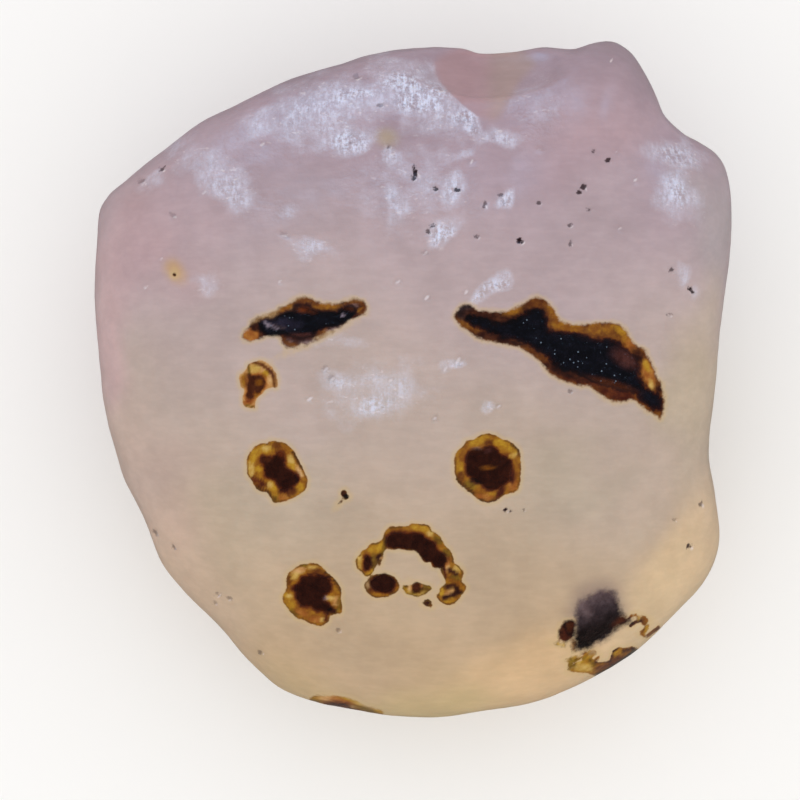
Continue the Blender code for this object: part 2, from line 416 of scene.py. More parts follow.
def depth_in_loop(places: np.ndarray, loop: np.ndarray, reach: float = FAR_OUTSIDE) -> np.ndarray:
    """How deep places lie inside a closed loop, in millimetres, negative outside.

    The size is the distance to the nearest stretch, and the sign comes from counting the stretches that a
    ray towards +X crosses. Places further out than the reach are given minus the reach.
    """
    depth = np.full(len(places), -reach)
    low, high = loop.min(axis=0) - reach, loop.max(axis=0) + reach
    near = np.flatnonzero(np.all((places > low) & (places < high), axis=1))
    start, end = loop, np.roll(loop, -1, axis=0)
    along = end - start
    for block in np.array_split(near, max(1, len(near) // BLOCK)):
        offset = places[block][:, None, :] - start[None]
        share = np.clip((offset * along).sum(-1) / (along**2).sum(-1), 0, 1)
        gap = np.linalg.norm(offset - share[..., None] * along, axis=-1).min(axis=1)
        y = places[block][:, 1][:, None]
        straddles = (start[None, :, 1] > y) != (end[None, :, 1] > y)
        rise = np.where(along[:, 1] == 0, 1e-9, along[:, 1])
        cut = start[:, 0] + (y - start[:, 1]) * along[:, 0] / rise
        crossings = (straddles & (cut > places[block][:, 0][:, None])).sum(axis=1)
        depth[block] = np.maximum(np.where(crossings % 2 == 1, gap, -gap), -reach)
    return depth


class Tint(Enum):
    """What a stain shows, in linear light, from the palest to the darkest. BARE marks a gap in a stain."""

    BARE = (0.500, 0.385, 0.310)
    PEACH = (0.578, 0.328, 0.127)
    STRAW = (0.546, 0.352, 0.091)
    TAN = (0.400, 0.262, 0.130)
    GOLD = (0.445, 0.240, 0.010)
    COPPER = (0.390, 0.150, 0.022)
    LILAC = (0.330, 0.262, 0.330)
    MILK = (0.205, 0.162, 0.205)
    DUSK = (0.200, 0.125, 0.125)
    AMBER = (0.305, 0.122, 0.0025)
    OLIVE = (0.205, 0.110, 0.004)
    BROWN = (0.171, 0.053, 0.0022)
    RUSSET = (0.114, 0.021, 0.002)
    WINE = (0.060, 0.017, 0.014)
    UMBER = (0.061, 0.013, 0.003)
    SMOKE = (0.125, 0.082, 0.086)
    SLATE = (0.017, 0.014, 0.030)
    MURK = (0.045, 0.029, 0.034)
    SOOT = (0.024, 0.0036, 0.0010)
    BLACK = (0.008, 0.0035, 0.0030)
    NAVY = (0.0030, 0.0030, 0.0070)


# The tints by their own names, for the table of markings
(
    BARE, PEACH, STRAW, TAN, GOLD, COPPER, LILAC, MILK, DUSK, AMBER, OLIVE,
    BROWN, RUSSET, WINE, UMBER, SMOKE, SLATE, MURK, SOOT, BLACK, NAVY,
) = Tint


def laid_over(colours: np.ndarray, depth: np.ndarray, tint: Colour, soft: float) -> np.ndarray:
    """Colours with a tint laid over them inside a shape, its edge soft and mostly outside the shape."""
    share = smooth_step(depth, *(share * soft for share in TINT_EDGE))[:, None]
    return colours + (np.array(tint) - colours) * share


@dataclass(frozen=True)
class Fleck(Oval):
    """A small oval of one tint, and how soft its edge is."""

    tint: Tint
    soft: float = 0.08

    def middle(self) -> np.ndarray:
        """The oval's middle, as one row."""
        return np.array([[self.x, self.y]])


@dataclass(frozen=True)
class Stroke:
    """A line of one tint through stops, with round ends."""

    tint: Tint
    stops: tuple[Point, ...]
    half_width: float
    soft: float = 0.08

    def inside(self, places: np.ndarray) -> np.ndarray:
        """Depth of places inside the line."""
        line = np.array(self.stops, dtype=float)
        gap = np.full(len(places), np.inf)
        for start, end in zip(line[:-1], line[1:]):
            along = end - start
            share = np.clip((places - start) @ along / (along @ along), 0, 1)
            gap = np.minimum(gap, np.linalg.norm(places - start - share[:, None] * along, axis=1))
        return self.half_width - gap

    def middle(self) -> np.ndarray:
        """The stop halfway, as one row."""
        return np.array([self.stops[len(self.stops) // 2]])


@dataclass(frozen=True)
class Marking:
    """One stained place.

    It has the tint of its ring and of its cores, how strong the dark line along its border is, the border,
    the cores inside it, and flecks and strokes in the order in which they are laid over one another. Its
    border and its cores blur over some millimetres each, and glint is how strong the painted glints in its
    cores are: bluish specks standing for the window's reflection in the crusty grains.
    """

    ring: Tint
    core: Tint
    line: float = 0.0
    border: tuple[Point, ...] = ()
    cores: tuple[tuple[Point, ...], ...] = ()
    flecks: tuple[Fleck | Stroke, ...] = ()
    soft: float = 0.055
    core_soft: float = 0.15
    glint: float = 0.0


MARKINGS: dict[str, Marking] = {
    "left patch": Marking(
        ring=UMBER, core=NAVY, soft=0.14, core_soft=0.34, glint=0.7,
        border=(
            (-12.27, 3.14), (-12.24, 3.59), (-11.88, 3.91), (-11.66, 4.36), (-11.17, 4.72), (-10.66, 4.88),
            (-10.01, 5.14), (-9.43, 5.46), (-8.92, 5.65), (-8.59, 5.91), (-8.14, 6.14), (-7.56, 6.17),
            (-7.11, 5.91), (-6.59, 5.72), (-5.95, 5.65), (-5.37, 5.65), (-4.98, 5.85), (-4.34, 5.98),
            (-3.69, 5.88), (-3.37, 5.46), (-3.37, 5.07), (-3.76, 4.85), (-4.27, 4.59), (-4.85, 4.3),
            (-5.37, 3.91), (-6.08, 3.65), (-6.59, 3.33), (-7.11, 3.14), (-7.5, 2.82), (-8.01, 2.75),
            (-8.53, 2.56), (-9.04, 2.49), (-9.43, 2.82), (-9.62, 3.2), (-10.08, 3.4), (-10.72, 3.27),
            (-11.3, 3.07), (-11.82, 2.98),
        ),
        cores=((
            (-10.98, 4.36), (-10.59, 4.53), (-10.01, 4.43), (-9.69, 4.82), (-9.17, 5.01), (-8.59, 4.98),
            (-8.27, 5.33), (-7.82, 5.4), (-7.24, 5.2), (-6.66, 4.94), (-5.69, 4.94), (-5.18, 5.07),
            (-4.92, 5.4), (-4.47, 5.43), (-4.27, 5.2), (-4.6, 4.75), (-4.98, 4.43), (-5.56, 4.17),
            (-6.34, 4.01), (-6.98, 3.78), (-7.3, 3.43), (-8.01, 3.3), (-8.85, 3.43), (-9.3, 3.65),
            (-9.82, 3.59), (-10.21, 3.46), (-10.79, 3.65),
        ),),
        flecks=(
            Fleck(-10.21, 4.88, 1.1, 0.19, 22, TAN, 0.15), Fleck(-8.14, 6.01, 0.71, 0.13, 5, TAN, 0.15),
            Fleck(-6.27, 5.51, 0.77, 0.18, 0, AMBER, 0.15), Fleck(-9.17, 5.33, 0.45, 0.15, 30, AMBER, 0.12),
            Fleck(-4.27, 5.94, 0.45, 0.1, 0, TAN, 0.12), Fleck(-6.85, 3.17, 1.03, 0.13, 25, TAN, 0.15),
            Fleck(-11.72, 3.43, 0.55, 0.46, 0, COPPER), Fleck(-11.19, 4.01, 0.27, 0.48, -70, UMBER),
            Fleck(-7.69, 5.78, 0.71, 0.3, 0, BROWN, 0.12), Fleck(-7.88, 5.33, 0.61, 0.23, 0, RUSSET, 0.12),
            Fleck(-8.34, 5.45, 0.31, 0.21, 0, UMBER), Fleck(-7.55, 5.56, 0.25, 0.18, 0, UMBER),
            Fleck(-7.24, 5.14, 0.39, 0.18, 0, UMBER), Fleck(-4.47, 5.56, 0.4, 0.14, 0, DUSK),
            Fleck(-4.4, 5.3, 0.4, 0.13, 0, UMBER), Fleck(-3.66, 5.17, 0.27, 0.21, 0, AMBER),
            # The LILAC dot at (-5.08, 4.85) is a painted highlight, a glint of the window on the patch
            Fleck(-9.69, 4.3, 0.77, 0.22, -8, SLATE, 0.3), Fleck(-5.08, 4.85, 0.09, 0.06, 0, LILAC, 0.06),
            Fleck(-8.01, 3.33, 0.97, 0.17, 0, WINE), Fleck(-9.17, 3.07, 0.39, 0.19, 0, WINE, 0.12),
            Fleck(-9.17, 2.82, 0.39, 0.14, 0, DUSK, 0.12), Fleck(-7.69, 3.07, 0.55, 0.17, 0, WINE, 0.12),
            Fleck(-7.63, 2.82, 0.39, 0.1, 0, DUSK, 0.12), Fleck(-6.56, 3.67, 0.42, 0.22, 20, BROWN),
            Fleck(-5.56, 3.91, 0.45, 0.09, 10, DUSK),
            Stroke(MILK, ((-10.73, 4.4), (-10.56, 4.17), (-10.51, 4.01)), 0.04),
            Stroke(MILK, ((-10.51, 4.2), (-10.14, 4.05), (-9.85, 3.86)), 0.04),
            Stroke(MURK, ((-10.01, 4.11), (-9.69, 3.96), (-9.3, 3.91)), 0.04),
            Stroke(BROWN, (
                (-5.01, 5.33), (-4.79, 5.67), (-4.27, 5.8), (-3.69, 5.73), (-3.47, 5.4), (-3.72, 5.02),
            ), 0.12),
            Stroke(BROWN, ((-9.46, 3.17), (-9.17, 2.82), (-8.4, 2.64)), 0.12),
        ),
    ),
    "right patch": Marking(
        ring=BROWN, core=NAVY, line=0.1, soft=0.13, core_soft=0.34, glint=1.0,
        border=(
            (3.0, 4.73), (3.41, 5.4), (4.03, 5.6), (4.76, 5.21), (5.79, 5.09), (6.72, 5.09), (7.54, 5.45),
            (8.16, 5.76), (8.78, 6.14), (9.6, 5.86), (10.12, 5.29), (10.53, 4.57), (11.26, 4.18),
            (12.18, 4.14), (13.22, 4.24), (14.66, 4.24), (15.28, 3.8), (15.9, 2.82), (16.72, 2.35),
            (17.08, 1.58), (17.5, 0.86), (17.6, 0.29), (17.98, -0.18), (18.12, -1.62), (17.86, -2.7),
            (17.5, -2.34), (16.83, -2.03), (16.05, -1.31), (15.38, -1.31), (14.56, -1.43), (13.73, -1.05),
            (12.8, -0.3), (12.18, -0.3), (11.36, -0.09), (10.53, 0.22), (9.81, 0.73), (9.19, 1.48),
            (8.47, 1.99), (7.75, 2.49), (6.82, 2.69), (5.89, 2.9), (4.86, 3.11), (3.93, 3.72), (3.31, 4.24),
        ),
        cores=((
            (3.93, 4.62), (4.96, 4.55), (5.79, 4.18), (6.72, 4.24), (7.54, 4.55), (8.16, 4.96),
            (8.99, 5.17), (9.5, 4.76), (9.6, 4.0), (9.86, 3.64), (10.64, 3.49), (11.46, 3.49),
            (12.29, 3.21), (13.01, 3.04), (13.73, 2.97), (14.56, 2.9), (15.12, 2.42), (15.8, 1.89),
            (16.21, 1.27), (16.16, 0.44), (16.52, -0.2), (17.14, -0.71), (17.7, -1.05), (17.91, -1.83),
            (17.55, -1.93), (16.72, -1.31), (16.0, -0.71), (15.28, -0.51), (14.56, -0.3),
            (13.73, -0.09), (13.01, 0.22), (12.29, 0.63), (11.46, 0.84), (10.64, 1.14), (10.02, 1.56),
            (9.5, 2.18), (8.68, 2.59), (7.95, 3.0), (6.82, 3.31), (5.79, 3.62), (4.96, 3.93),
            (4.24, 4.24),
        ),),
        flecks=(
            Fleck(3.78, 5.14, 0.62, 0.47, 20, MURK, 0.2), Fleck(5.79, 4.76, 1.96, 0.52, -5, UMBER, 0.2),
            Fleck(5.48, 3.49, 1.96, 0.25, 14, UMBER, 0.15), Fleck(7.33, 5.17, 0.62, 0.21, 20, AMBER, 0.12),
            Fleck(8.68, 5.31, 0.68, 0.35, 0, UMBER, 0.2), Fleck(8.99, 5.71, 0.72, 0.35, 0, BROWN, 0.12),
            Fleck(10.22, 4.93, 0.27, 0.58, 30, AMBER, 0.12), Fleck(10.95, 4.0, 0.77, 0.27, -15, AMBER, 0.1),
            Fleck(11.87, 3.87, 0.83, 0.23, 0, AMBER, 0.1), Fleck(12.55, 3.64, 0.23, 0.52, 0, BROWN, 0.1),
            Fleck(13.22, 3.85, 0.52, 0.35, 0, AMBER, 0.1), Fleck(13.78, 3.64, 0.17, 0.47, 0, BROWN, 0.1),
            Fleck(14.25, 3.87, 0.52, 0.27, 0, AMBER, 0.1), Fleck(14.56, 3.49, 0.19, 0.41, -10, BROWN, 0.1),
            Fleck(15.05, 3.69, 0.37, 0.23, -40, GOLD, 0.12),
            Fleck(15.49, 3.02, 0.52, 0.27, -60, AMBER, 0.12),
            Fleck(15.8, 2.51, 0.52, 0.25, -60, COPPER, 0.12), Fleck(15.4, 1.7, 0.68, 0.37, -30, WINE, 0.4),
            Fleck(16.26, 1.89, 0.47, 0.25, -50, UMBER, 0.2),
            Fleck(17.01, 0.63, 0.93, 0.35, -75, COPPER, 0.1), Fleck(16.88, 1.17, 0.35, 0.19, -70, GOLD, 0.1),
            Fleck(17.2, -0.18, 0.31, 0.14, -80, STRAW, 0.08),
            Fleck(17.76, -0.49, 0.27, 0.19, -70, UMBER, 0.12),
            Fleck(10.12, 1.01, 0.77, 0.29, -30, RUSSET, 0.12),
            Fleck(11.98, 0.24, 1.44, 0.31, -15, RUSSET, 0.12),
            Fleck(14.76, -0.9, 1.13, 0.31, -12, RUSSET, 0.12),
            Fleck(16.78, -1.7, 0.62, 0.12, -25, BROWN, 0.1), Fleck(6.3, 3.07, 1.55, 0.21, -12, UMBER, 0.12),
            Fleck(10.95, 0.75, 1.34, 0.27, -20, UMBER, 0.2),
            Fleck(14.25, -0.18, 1.24, 0.23, -15, UMBER, 0.2),
        ),
    ),
    "small ring": Marking(
        ring=PEACH, core=UMBER, line=0.1, core_soft=0.12,
        border=(
            (-12.53, 0.54), (-12.26, 0.7), (-12.05, 0.91), (-11.94, 1.26), (-11.67, 1.42), (-11.33, 1.52),
            (-10.9, 1.55), (-10.53, 1.39), (-10.2, 1.1), (-9.94, 0.75), (-9.8, 0.3), (-9.79, -0.16),
            (-9.88, -0.45), (-10.2, -0.37), (-10.58, -0.53), (-10.79, -0.75), (-11.06, -0.99),
            (-11.3, -1.17), (-11.35, -1.44), (-11.41, -1.71), (-11.43, -1.89), (-11.86, -1.84),
            (-12.23, -1.71), (-12.31, -1.31), (-12.26, -0.96), (-12.21, -0.59), (-12.45, -0.32),
            (-12.53, 0.11),
        ),
        cores=((
            (-11.86, 0.46), (-11.54, 0.5), (-11.22, 0.54), (-10.9, 0.43), (-10.69, 0.19),
            (-10.69, -0.24), (-10.85, -0.53), (-11.11, -0.83), (-11.33, -0.8), (-11.49, -0.64),
            (-11.54, -0.91), (-11.54, -1.23), (-11.86, -1.25), (-12.05, -1.04), (-11.99, -0.64),
            (-11.91, -0.1),
        ),),
        flecks=(
            Fleck(-11.43, 0.96, 0.37, 0.29, 0, STRAW), Fleck(-10.66, 0.62, 0.2, 0.29, -30, GOLD),
            Fleck(-12.21, 0.11, 0.23, 0.45, 0, AMBER), Fleck(-10.39, 0.06, 0.23, 0.43, -20, PEACH),
            Fleck(-11.11, -0.02, 0.24, 0.19, 0, BROWN), Fleck(-11.35, -0.88, 0.16, 0.19, 0, GOLD),
            Fleck(-11.93, -1.47, 0.32, 0.17, 0, COPPER), Fleck(-10.36, -0.75, 0.45, 0.27, 30, BARE),
            Stroke(BROWN, (
                (-11.43, 1.43), (-10.9, 1.26), (-10.53, 0.99), (-10.2, 0.7), (-10.03, 0.22), (-9.99, -0.32),
            ), 0.11),
            Stroke(RUSSET, ((-10.53, 0.96), (-10.26, 0.7), (-10.1, 0.54)), 0.09),
            Stroke(OLIVE, ((-11.87, 1.31), (-11.88, 0.91), (-11.86, 0.51)), 0.07),
            Stroke(OLIVE, ((-12.1, -1.71), (-11.81, -1.74), (-11.46, -1.84)), 0.05),
        ),
    ),
    "left spot": Marking(
        ring=AMBER, core=SOOT, line=0.6, core_soft=0.2,
        border=(
            (-11.9, -5.28), (-11.66, -4.9), (-11.34, -4.58), (-10.96, -4.41), (-10.54, -4.41),
            (-10.26, -4.2), (-9.84, -4.27), (-9.41, -4.35), (-8.99, -4.58), (-8.64, -4.93), (-8.4, -5.39),
            (-8.15, -5.88), (-7.87, -6.4), (-7.66, -6.93), (-7.63, -7.31), (-7.77, -7.77), (-8.19, -8.12),
            (-8.64, -8.36), (-9.13, -8.57), (-9.69, -8.68), (-10.08, -8.68), (-10.26, -8.33),
            (-10.54, -8.01), (-10.92, -7.91), (-11.27, -7.73), (-11.52, -7.38), (-11.69, -7.03),
            (-11.94, -6.75), (-12.01, -6.26), (-12.01, -5.7),
        ),
        cores=((
            (-10.92, -5.46), (-10.54, -5.39), (-10.19, -5.49), (-9.91, -5.25), (-9.69, -5.07),
            (-9.41, -5.18), (-9.34, -5.56), (-9.41, -5.91), (-9.17, -6.3), (-8.71, -6.51),
            (-8.54, -6.75), (-8.47, -7.1), (-8.64, -7.45), (-9.06, -7.66), (-9.48, -7.7),
            (-9.69, -7.38), (-9.91, -7.1), (-10.26, -6.96), (-10.54, -6.82), (-10.68, -6.4),
            (-10.78, -5.98),
        ),),
        flecks=(
            Fleck(-10.61, -4.86, 0.46, 0.3, 0, GOLD), Fleck(-10.61, -4.76, 0.25, 0.16, 0, STRAW),
            Fleck(-11.34, -5.11, 0.28, 0.21, 0, GOLD), Fleck(-11.71, -6.23, 0.22, 0.53, 0, STRAW),
            Fleck(-11.13, -6.23, 0.28, 0.21, 0, GOLD), Fleck(-11.62, -5.56, 0.21, 0.25, 0, GOLD),
            Fleck(-9.89, -4.62, 0.25, 0.3, 0, BROWN), Fleck(-8.96, -4.93, 0.3, 0.25, -30, AMBER),
            Fleck(-8.8, -5.67, 0.19, 0.37, 20, STRAW), Fleck(-8.7, -6.07, 0.32, 0.2, -10, GOLD),
            Fleck(-8.17, -6.51, 0.13, 0.46, 25, PEACH), Fleck(-7.98, -7.14, 0.18, 0.25, 0, AMBER),
            Fleck(-8.15, -7.63, 0.29, 0.33, 30, GOLD), Fleck(-10.08, -7.66, 0.21, 0.46, 28, GOLD, 0.12),
            Fleck(-10.33, -7.38, 0.14, 0.14, 0, STRAW, 0.12), Fleck(-9.91, -8.45, 0.3, 0.18, 0, OLIVE),
            Fleck(-9.38, -8.38, 0.33, 0.18, 0, COPPER), Fleck(-8.78, -7.94, 0.39, 0.28, 20, BROWN),
            Fleck(-11.1, -7.21, 0.53, 0.18, -30, RUSSET), Fleck(-11.45, -7.03, 0.25, 0.19, 0, RUSSET),
            Fleck(-11.17, -7.56, 0.33, 0.18, -35, BROWN), Fleck(-10.54, -5.56, 0.33, 0.16, 0, UMBER),
            Fleck(-9.52, -5.14, 0.18, 0.25, 0, RUSSET), Fleck(-8.38, -6.86, 0.18, 0.33, 0, RUSSET),
            Fleck(-9.34, -7.85, 0.32, 0.16, 0, RUSSET),
            Stroke(UMBER, ((-8.66, -5.07), (-8.36, -5.56), (-7.98, -6.26)), 0.06),
            Stroke(UMBER, ((-11.34, -7.66), (-10.54, -7.91), (-10.26, -8.26)), 0.08),
        ),
    ),
    "right spot": Marking(
        ring=AMBER, core=SOOT, line=0.6, core_soft=0.2,
        border=(
            (3.02, -5.28), (3.28, -4.91), (3.62, -4.6), (3.81, -4.26), (4.34, -4.15), (4.87, -3.81),
            (5.4, -3.73), (6.0, -3.87), (6.46, -4.15), (6.98, -4.26), (7.44, -4.64), (7.7, -4.98),
            (7.76, -5.43), (7.82, -6.11), (7.78, -6.72), (7.7, -7.32), (7.55, -7.81), (6.98, -8.04),
            (6.53, -8.19), (6.04, -8.57), (5.4, -8.7), (4.76, -8.53), (4.34, -8.12), (3.81, -7.66),
            (3.28, -7.25), (3.02, -6.68), (2.98, -6.04),
        ),
        cores=((
            (4.04, -5.13), (4.34, -4.94), (4.87, -4.94), (5.4, -4.79), (5.93, -4.87), (6.23, -5.17),
            (6.68, -5.43), (7.02, -5.62), (7.06, -6.04), (6.91, -6.57), (6.91, -7.06), (6.53, -7.36),
            (6.15, -7.7), (5.62, -7.74), (5.17, -7.55), (4.94, -7.17), (4.49, -6.95), (4.0, -6.68),
            (3.89, -6.11), (3.92, -5.59),
        ),),
        flecks=(
            Fleck(4.64, -4.32, 0.45, 0.22, 10, GOLD), Fleck(6.38, -4.43, 0.6, 0.25, -15, GOLD),
            Fleck(7.21, -4.83, 0.4, 0.23, -35, GOLD), Fleck(7.17, -5.32, 0.27, 0.14, 25, STRAW),
            Fleck(3.36, -6.04, 0.23, 0.53, 0, GOLD), Fleck(3.43, -5.28, 0.26, 0.45, 20, AMBER),
            Fleck(4.11, -7.44, 0.38, 0.19, -30, OLIVE), Fleck(3.47, -6.76, 0.23, 0.26, 0, BROWN),
            Fleck(7.21, -7.44, 0.3, 0.42, 0, COPPER), Fleck(5.06, -8.31, 0.64, 0.2, -5, COPPER),
            Fleck(5.78, -8.04, 0.2, 0.16, 0, GOLD), Fleck(6.3, -8.0, 0.49, 0.2, 55, RUSSET),
            Fleck(7.17, -6.76, 0.17, 0.49, 0, RUSSET), Fleck(5.44, -4.45, 0.32, 0.26, 0, BROWN),
            Fleck(5.17, -3.98, 0.3, 0.14, 0, GOLD), Fleck(4.57, -7.17, 0.45, 0.21, -15, UMBER),
            Fleck(4.64, -4.87, 0.26, 0.08, 0, DUSK), Fleck(5.4, -6.19, 0.34, 0.09, 0, BROWN),
            Fleck(5.4, -4.94, 0.23, 0.15, 0, WINE),
            Stroke(UMBER, ((3.13, -6.98), (3.58, -7.51), (4.34, -8.04)), 0.08),
            Stroke(UMBER, ((4.79, -8.55), (5.4, -8.66), (6.04, -8.53)), 0.07),
            Stroke(UMBER, ((7.15, -4.49), (7.63, -4.87), (7.7, -5.28)), 0.06),
        ),
    ),
    "lower spot": Marking(
        ring=AMBER, core=SOOT, line=0.6, core_soft=0.2,
        border=(
            (-9.42, -15.49), (-9.21, -15.08), (-9.16, -14.47), (-9.08, -13.92), (-8.77, -13.61),
            (-8.4, -13.34), (-8.06, -13.14), (-7.65, -13.14), (-7.24, -13.03), (-6.83, -13.17),
            (-6.45, -13.48), (-6.11, -13.82), (-5.7, -14.16), (-5.36, -14.57), (-5.16, -15.08),
            (-5.19, -15.56), (-5.16, -15.97), (-5.16, -16.65), (-5.64, -16.78), (-6.01, -16.85),
            (-6.11, -17.29), (-6.49, -17.57), (-6.96, -17.57), (-7.51, -17.4), (-7.88, -17.19),
            (-8.4, -17.02), (-8.77, -16.71), (-9.11, -16.27), (-9.35, -15.9),
        ),
        cores=((
            (-8.19, -14.4), (-7.85, -14.09), (-7.31, -14.01), (-6.83, -14.02), (-6.56, -14.16),
            (-6.11, -14.26), (-5.98, -14.67), (-6.04, -15.15), (-6.45, -15.39), (-6.52, -15.76),
            (-6.21, -15.97), (-6.08, -16.31), (-6.49, -16.51), (-6.96, -16.41), (-7.37, -16.17),
            (-7.78, -16.17), (-8.19, -15.93), (-8.4, -15.49), (-8.36, -15.01),
        ),),
        flecks=(
            Fleck(-8.26, -13.63, 0.39, 0.2, 25, PEACH), Fleck(-8.57, -14.02, 0.31, 0.19, 30, STRAW),
            Fleck(-7.88, -13.22, 0.2, 0.11, 0, OLIVE), Fleck(-7.03, -13.68, 0.44, 0.21, 0, BROWN),
            Fleck(-7.2, -13.36, 0.24, 0.08, 0, STRAW), Fleck(-8.98, -14.26, 0.12, 0.31, 0, BROWN),
            Fleck(-8.53, -14.87, 0.27, 0.24, 0, RUSSET), Fleck(-9.0, -15.49, 0.25, 0.21, 0, GOLD),
            Fleck(-8.91, -15.45, 0.14, 0.12, 0, STRAW), Fleck(-8.87, -16.14, 0.24, 0.39, 35, GOLD),
            Fleck(-8.63, -16.65, 0.31, 0.15, -35, OLIVE), Fleck(-8.06, -16.65, 0.41, 0.19, -20, COPPER),
            Fleck(-6.96, -17.16, 0.48, 0.19, 0, COPPER), Fleck(-6.57, -17.18, 0.12, 0.1, 0, STRAW),
            Fleck(-6.27, -16.99, 0.16, 0.36, 0, RUSSET), Fleck(-5.91, -15.64, 0.51, 0.12, -4, STRAW),
            Fleck(-5.58, -15.83, 0.18, 0.27, 0, PEACH), Fleck(-6.39, -15.62, 0.12, 0.16, 0, LILAC),
            Fleck(-5.65, -14.77, 0.26, 0.37, 15, AMBER), Fleck(-5.91, -16.48, 0.41, 0.25, -15, UMBER),
            Fleck(-5.35, -16.14, 0.1, 0.39, 0, OLIVE), Fleck(-6.49, -14.06, 0.31, 0.16, -20, RUSSET),
            Stroke(UMBER, ((-6.32, -13.73), (-5.81, -14.09), (-5.43, -14.57), (-5.18, -15.08)), 0.07),
        ),
    ),
    "arch": Marking(
        ring=AMBER, core=SOOT, line=0.8, core_soft=0.14,
        border=(
            (-4.13, -13.12), (-4.05, -12.64), (-3.71, -12.22), (-3.4, -12.05), (-2.98, -11.61),
            (-2.61, -11.61), (-2.25, -11.35), (-2.02, -10.82), (-1.68, -10.45), (-1.07, -10.42),
            (-0.39, -10.37), (-0.05, -10.2), (0.34, -10.23), (0.84, -10.25), (1.18, -10.41), (1.43, -10.79),
            (1.83, -11.04), (2.11, -11.41), (2.33, -11.83), (2.7, -12.17), (2.9, -12.64), (2.95, -13.04),
            (3.35, -13.26), (3.63, -13.68), (3.57, -14.1), (3.51, -14.36), (3.88, -14.86), (3.57, -15.28),
            (3.23, -15.76), (2.67, -16.09), (2.02, -15.9), (1.66, -15.42), (1.91, -15.23), (1.97, -14.86),
            (2.33, -14.53), (2.19, -14.08), (1.97, -13.57), (2.08, -13.4), (1.46, -13.4), (1.27, -13.01),
            (0.84, -12.98), (0.54, -12.59), (0.25, -12.22), (-0.28, -12.18), (-0.95, -12.08),
            (-1.57, -12.11), (-1.91, -12.02), (-2.11, -12.33), (-2.19, -12.73), (-2.3, -13.18),
            (-2.7, -13.46), (-3.03, -13.96), (-3.43, -14.05), (-3.82, -13.65), (-4.07, -13.4),
        ),
        cores=(
            (
                (-1.8, -11.21), (-1.52, -11.03), (-0.62, -10.97), (0.28, -10.93), (0.68, -11.05),
                (0.84, -11.32), (1.35, -11.5), (1.6, -11.8), (1.77, -12.19), (2.19, -12.5), (2.45, -12.84),
                (2.14, -13.35), (1.55, -13.35), (1.29, -12.98), (0.84, -12.9), (0.39, -12.33),
                (-0.05, -12.1), (-0.95, -12.01), (-1.68, -11.91), (-1.85, -11.6),
            ),
            (
                (-3.54, -12.9), (-3.34, -12.56), (-3.15, -12.67), (-3.06, -13.12), (-3.17, -13.51),
                (-3.37, -13.54), (-3.51, -13.23),
            ),
        ),
        flecks=(
            Fleck(-1.07, -10.68, 0.73, 0.19, 3, AMBER), Fleck(0.68, -10.59, 0.67, 0.24, -10, GOLD),
            Fleck(1.24, -10.9, 0.19, 0.19, 0, STRAW), Fleck(-1.24, -10.87, 0.45, 0.12, 0, BROWN),
            Fleck(1.8, -11.41, 0.35, 0.22, -40, OLIVE), Fleck(2.45, -12.31, 0.29, 0.24, -45, OLIVE),
            Fleck(-2.58, -12.0, 0.59, 0.35, 25, GOLD), Fleck(-3.88, -12.9, 0.19, 0.51, 10, STRAW),
            Fleck(-2.87, -13.01, 0.2, 0.51, 0, OLIVE), Fleck(-3.15, -13.85, 0.34, 0.2, 20, GOLD),
            Fleck(-2.27, -12.6, 0.13, 0.13, 0, PEACH), Fleck(-2.61, -13.46, 0.17, 0.34, -20, BARE),
            Fleck(3.23, -13.46, 0.26, 0.19, 0, STRAW), Fleck(3.04, -14.16, 0.35, 0.15, 0, OLIVE),
            Fleck(2.67, -14.36, 0.35, 0.13, 0, AMBER), Fleck(2.42, -13.18, 0.17, 0.39, 0, PEACH),
            Fleck(2.76, -15.2, 0.35, 0.13, 10, PEACH), Fleck(2.7, -15.83, 0.35, 0.15, 0, GOLD),
            Fleck(2.08, -15.14, 0.13, 0.29, 0, GOLD), Fleck(2.67, -14.81, 0.13, 0.1, 0, STRAW),
            Stroke(UMBER, ((-2.24, -12.42), (-2.57, -12.67), (-2.46, -12.96)), 0.13),
            Stroke(UMBER, ((2.61, -13.54), (3.12, -13.88)), 0.13),
            Stroke(RUSSET, ((2.22, -13.46), (2.33, -14.02)), 0.11),
            Stroke(UMBER, ((2.42, -14.78), (2.92, -14.67), (3.23, -14.98)), 0.15),
            Stroke(UMBER, ((2.25, -15.59), (2.76, -15.4), (3.54, -15.17)), 0.12),
            Stroke(OLIVE, ((-1.99, -11.38), (-2.08, -12.0), (-2.13, -12.33)), 0.09),
        ),
    ),
    "bead": Marking(
        ring=BROWN, core=SOOT, line=0.7, core_soft=0.16,
        border=(
            (-3.53, -14.61), (-3.23, -14.22), (-2.87, -13.94), (-2.13, -13.82), (-1.57, -13.96),
            (-1.18, -14.27), (-0.95, -14.69), (-1.18, -15.12), (-1.63, -15.42), (-2.3, -15.57),
            (-2.92, -15.49), (-3.34, -15.14),
        ),
        cores=((
            (-3.06, -14.47), (-2.64, -14.13), (-2.13, -13.84), (-1.71, -14.08), (-1.4, -14.47),
            (-1.45, -14.81), (-1.85, -15.12), (-2.3, -15.14), (-2.81, -14.81),
        ),),
        flecks=(
            Fleck(-2.47, -15.32, 0.59, 0.15, 0, AMBER), Fleck(-3.3, -14.61, 0.19, 0.28, 0, TAN),
            Fleck(-1.24, -14.83, 0.17, 0.28, 20, AMBER),
        ),
    ),
    "pip": Marking(
        ring=OLIVE, core=UMBER, line=0.7,
        border=(
            (-0.76, -14.86), (-0.56, -14.58), (-0.36, -14.75), (-0.21, -14.86), (-0.05, -14.58),
            (0.28, -14.46), (0.84, -14.58), (1.38, -14.83), (1.13, -15.14), (0.73, -15.38), (0.34, -15.5),
            (-0.17, -15.38), (-0.53, -15.27),
        ),
        cores=((
            (-0.05, -14.86), (0.11, -14.59), (0.39, -14.54), (0.54, -14.86), (0.39, -15.17),
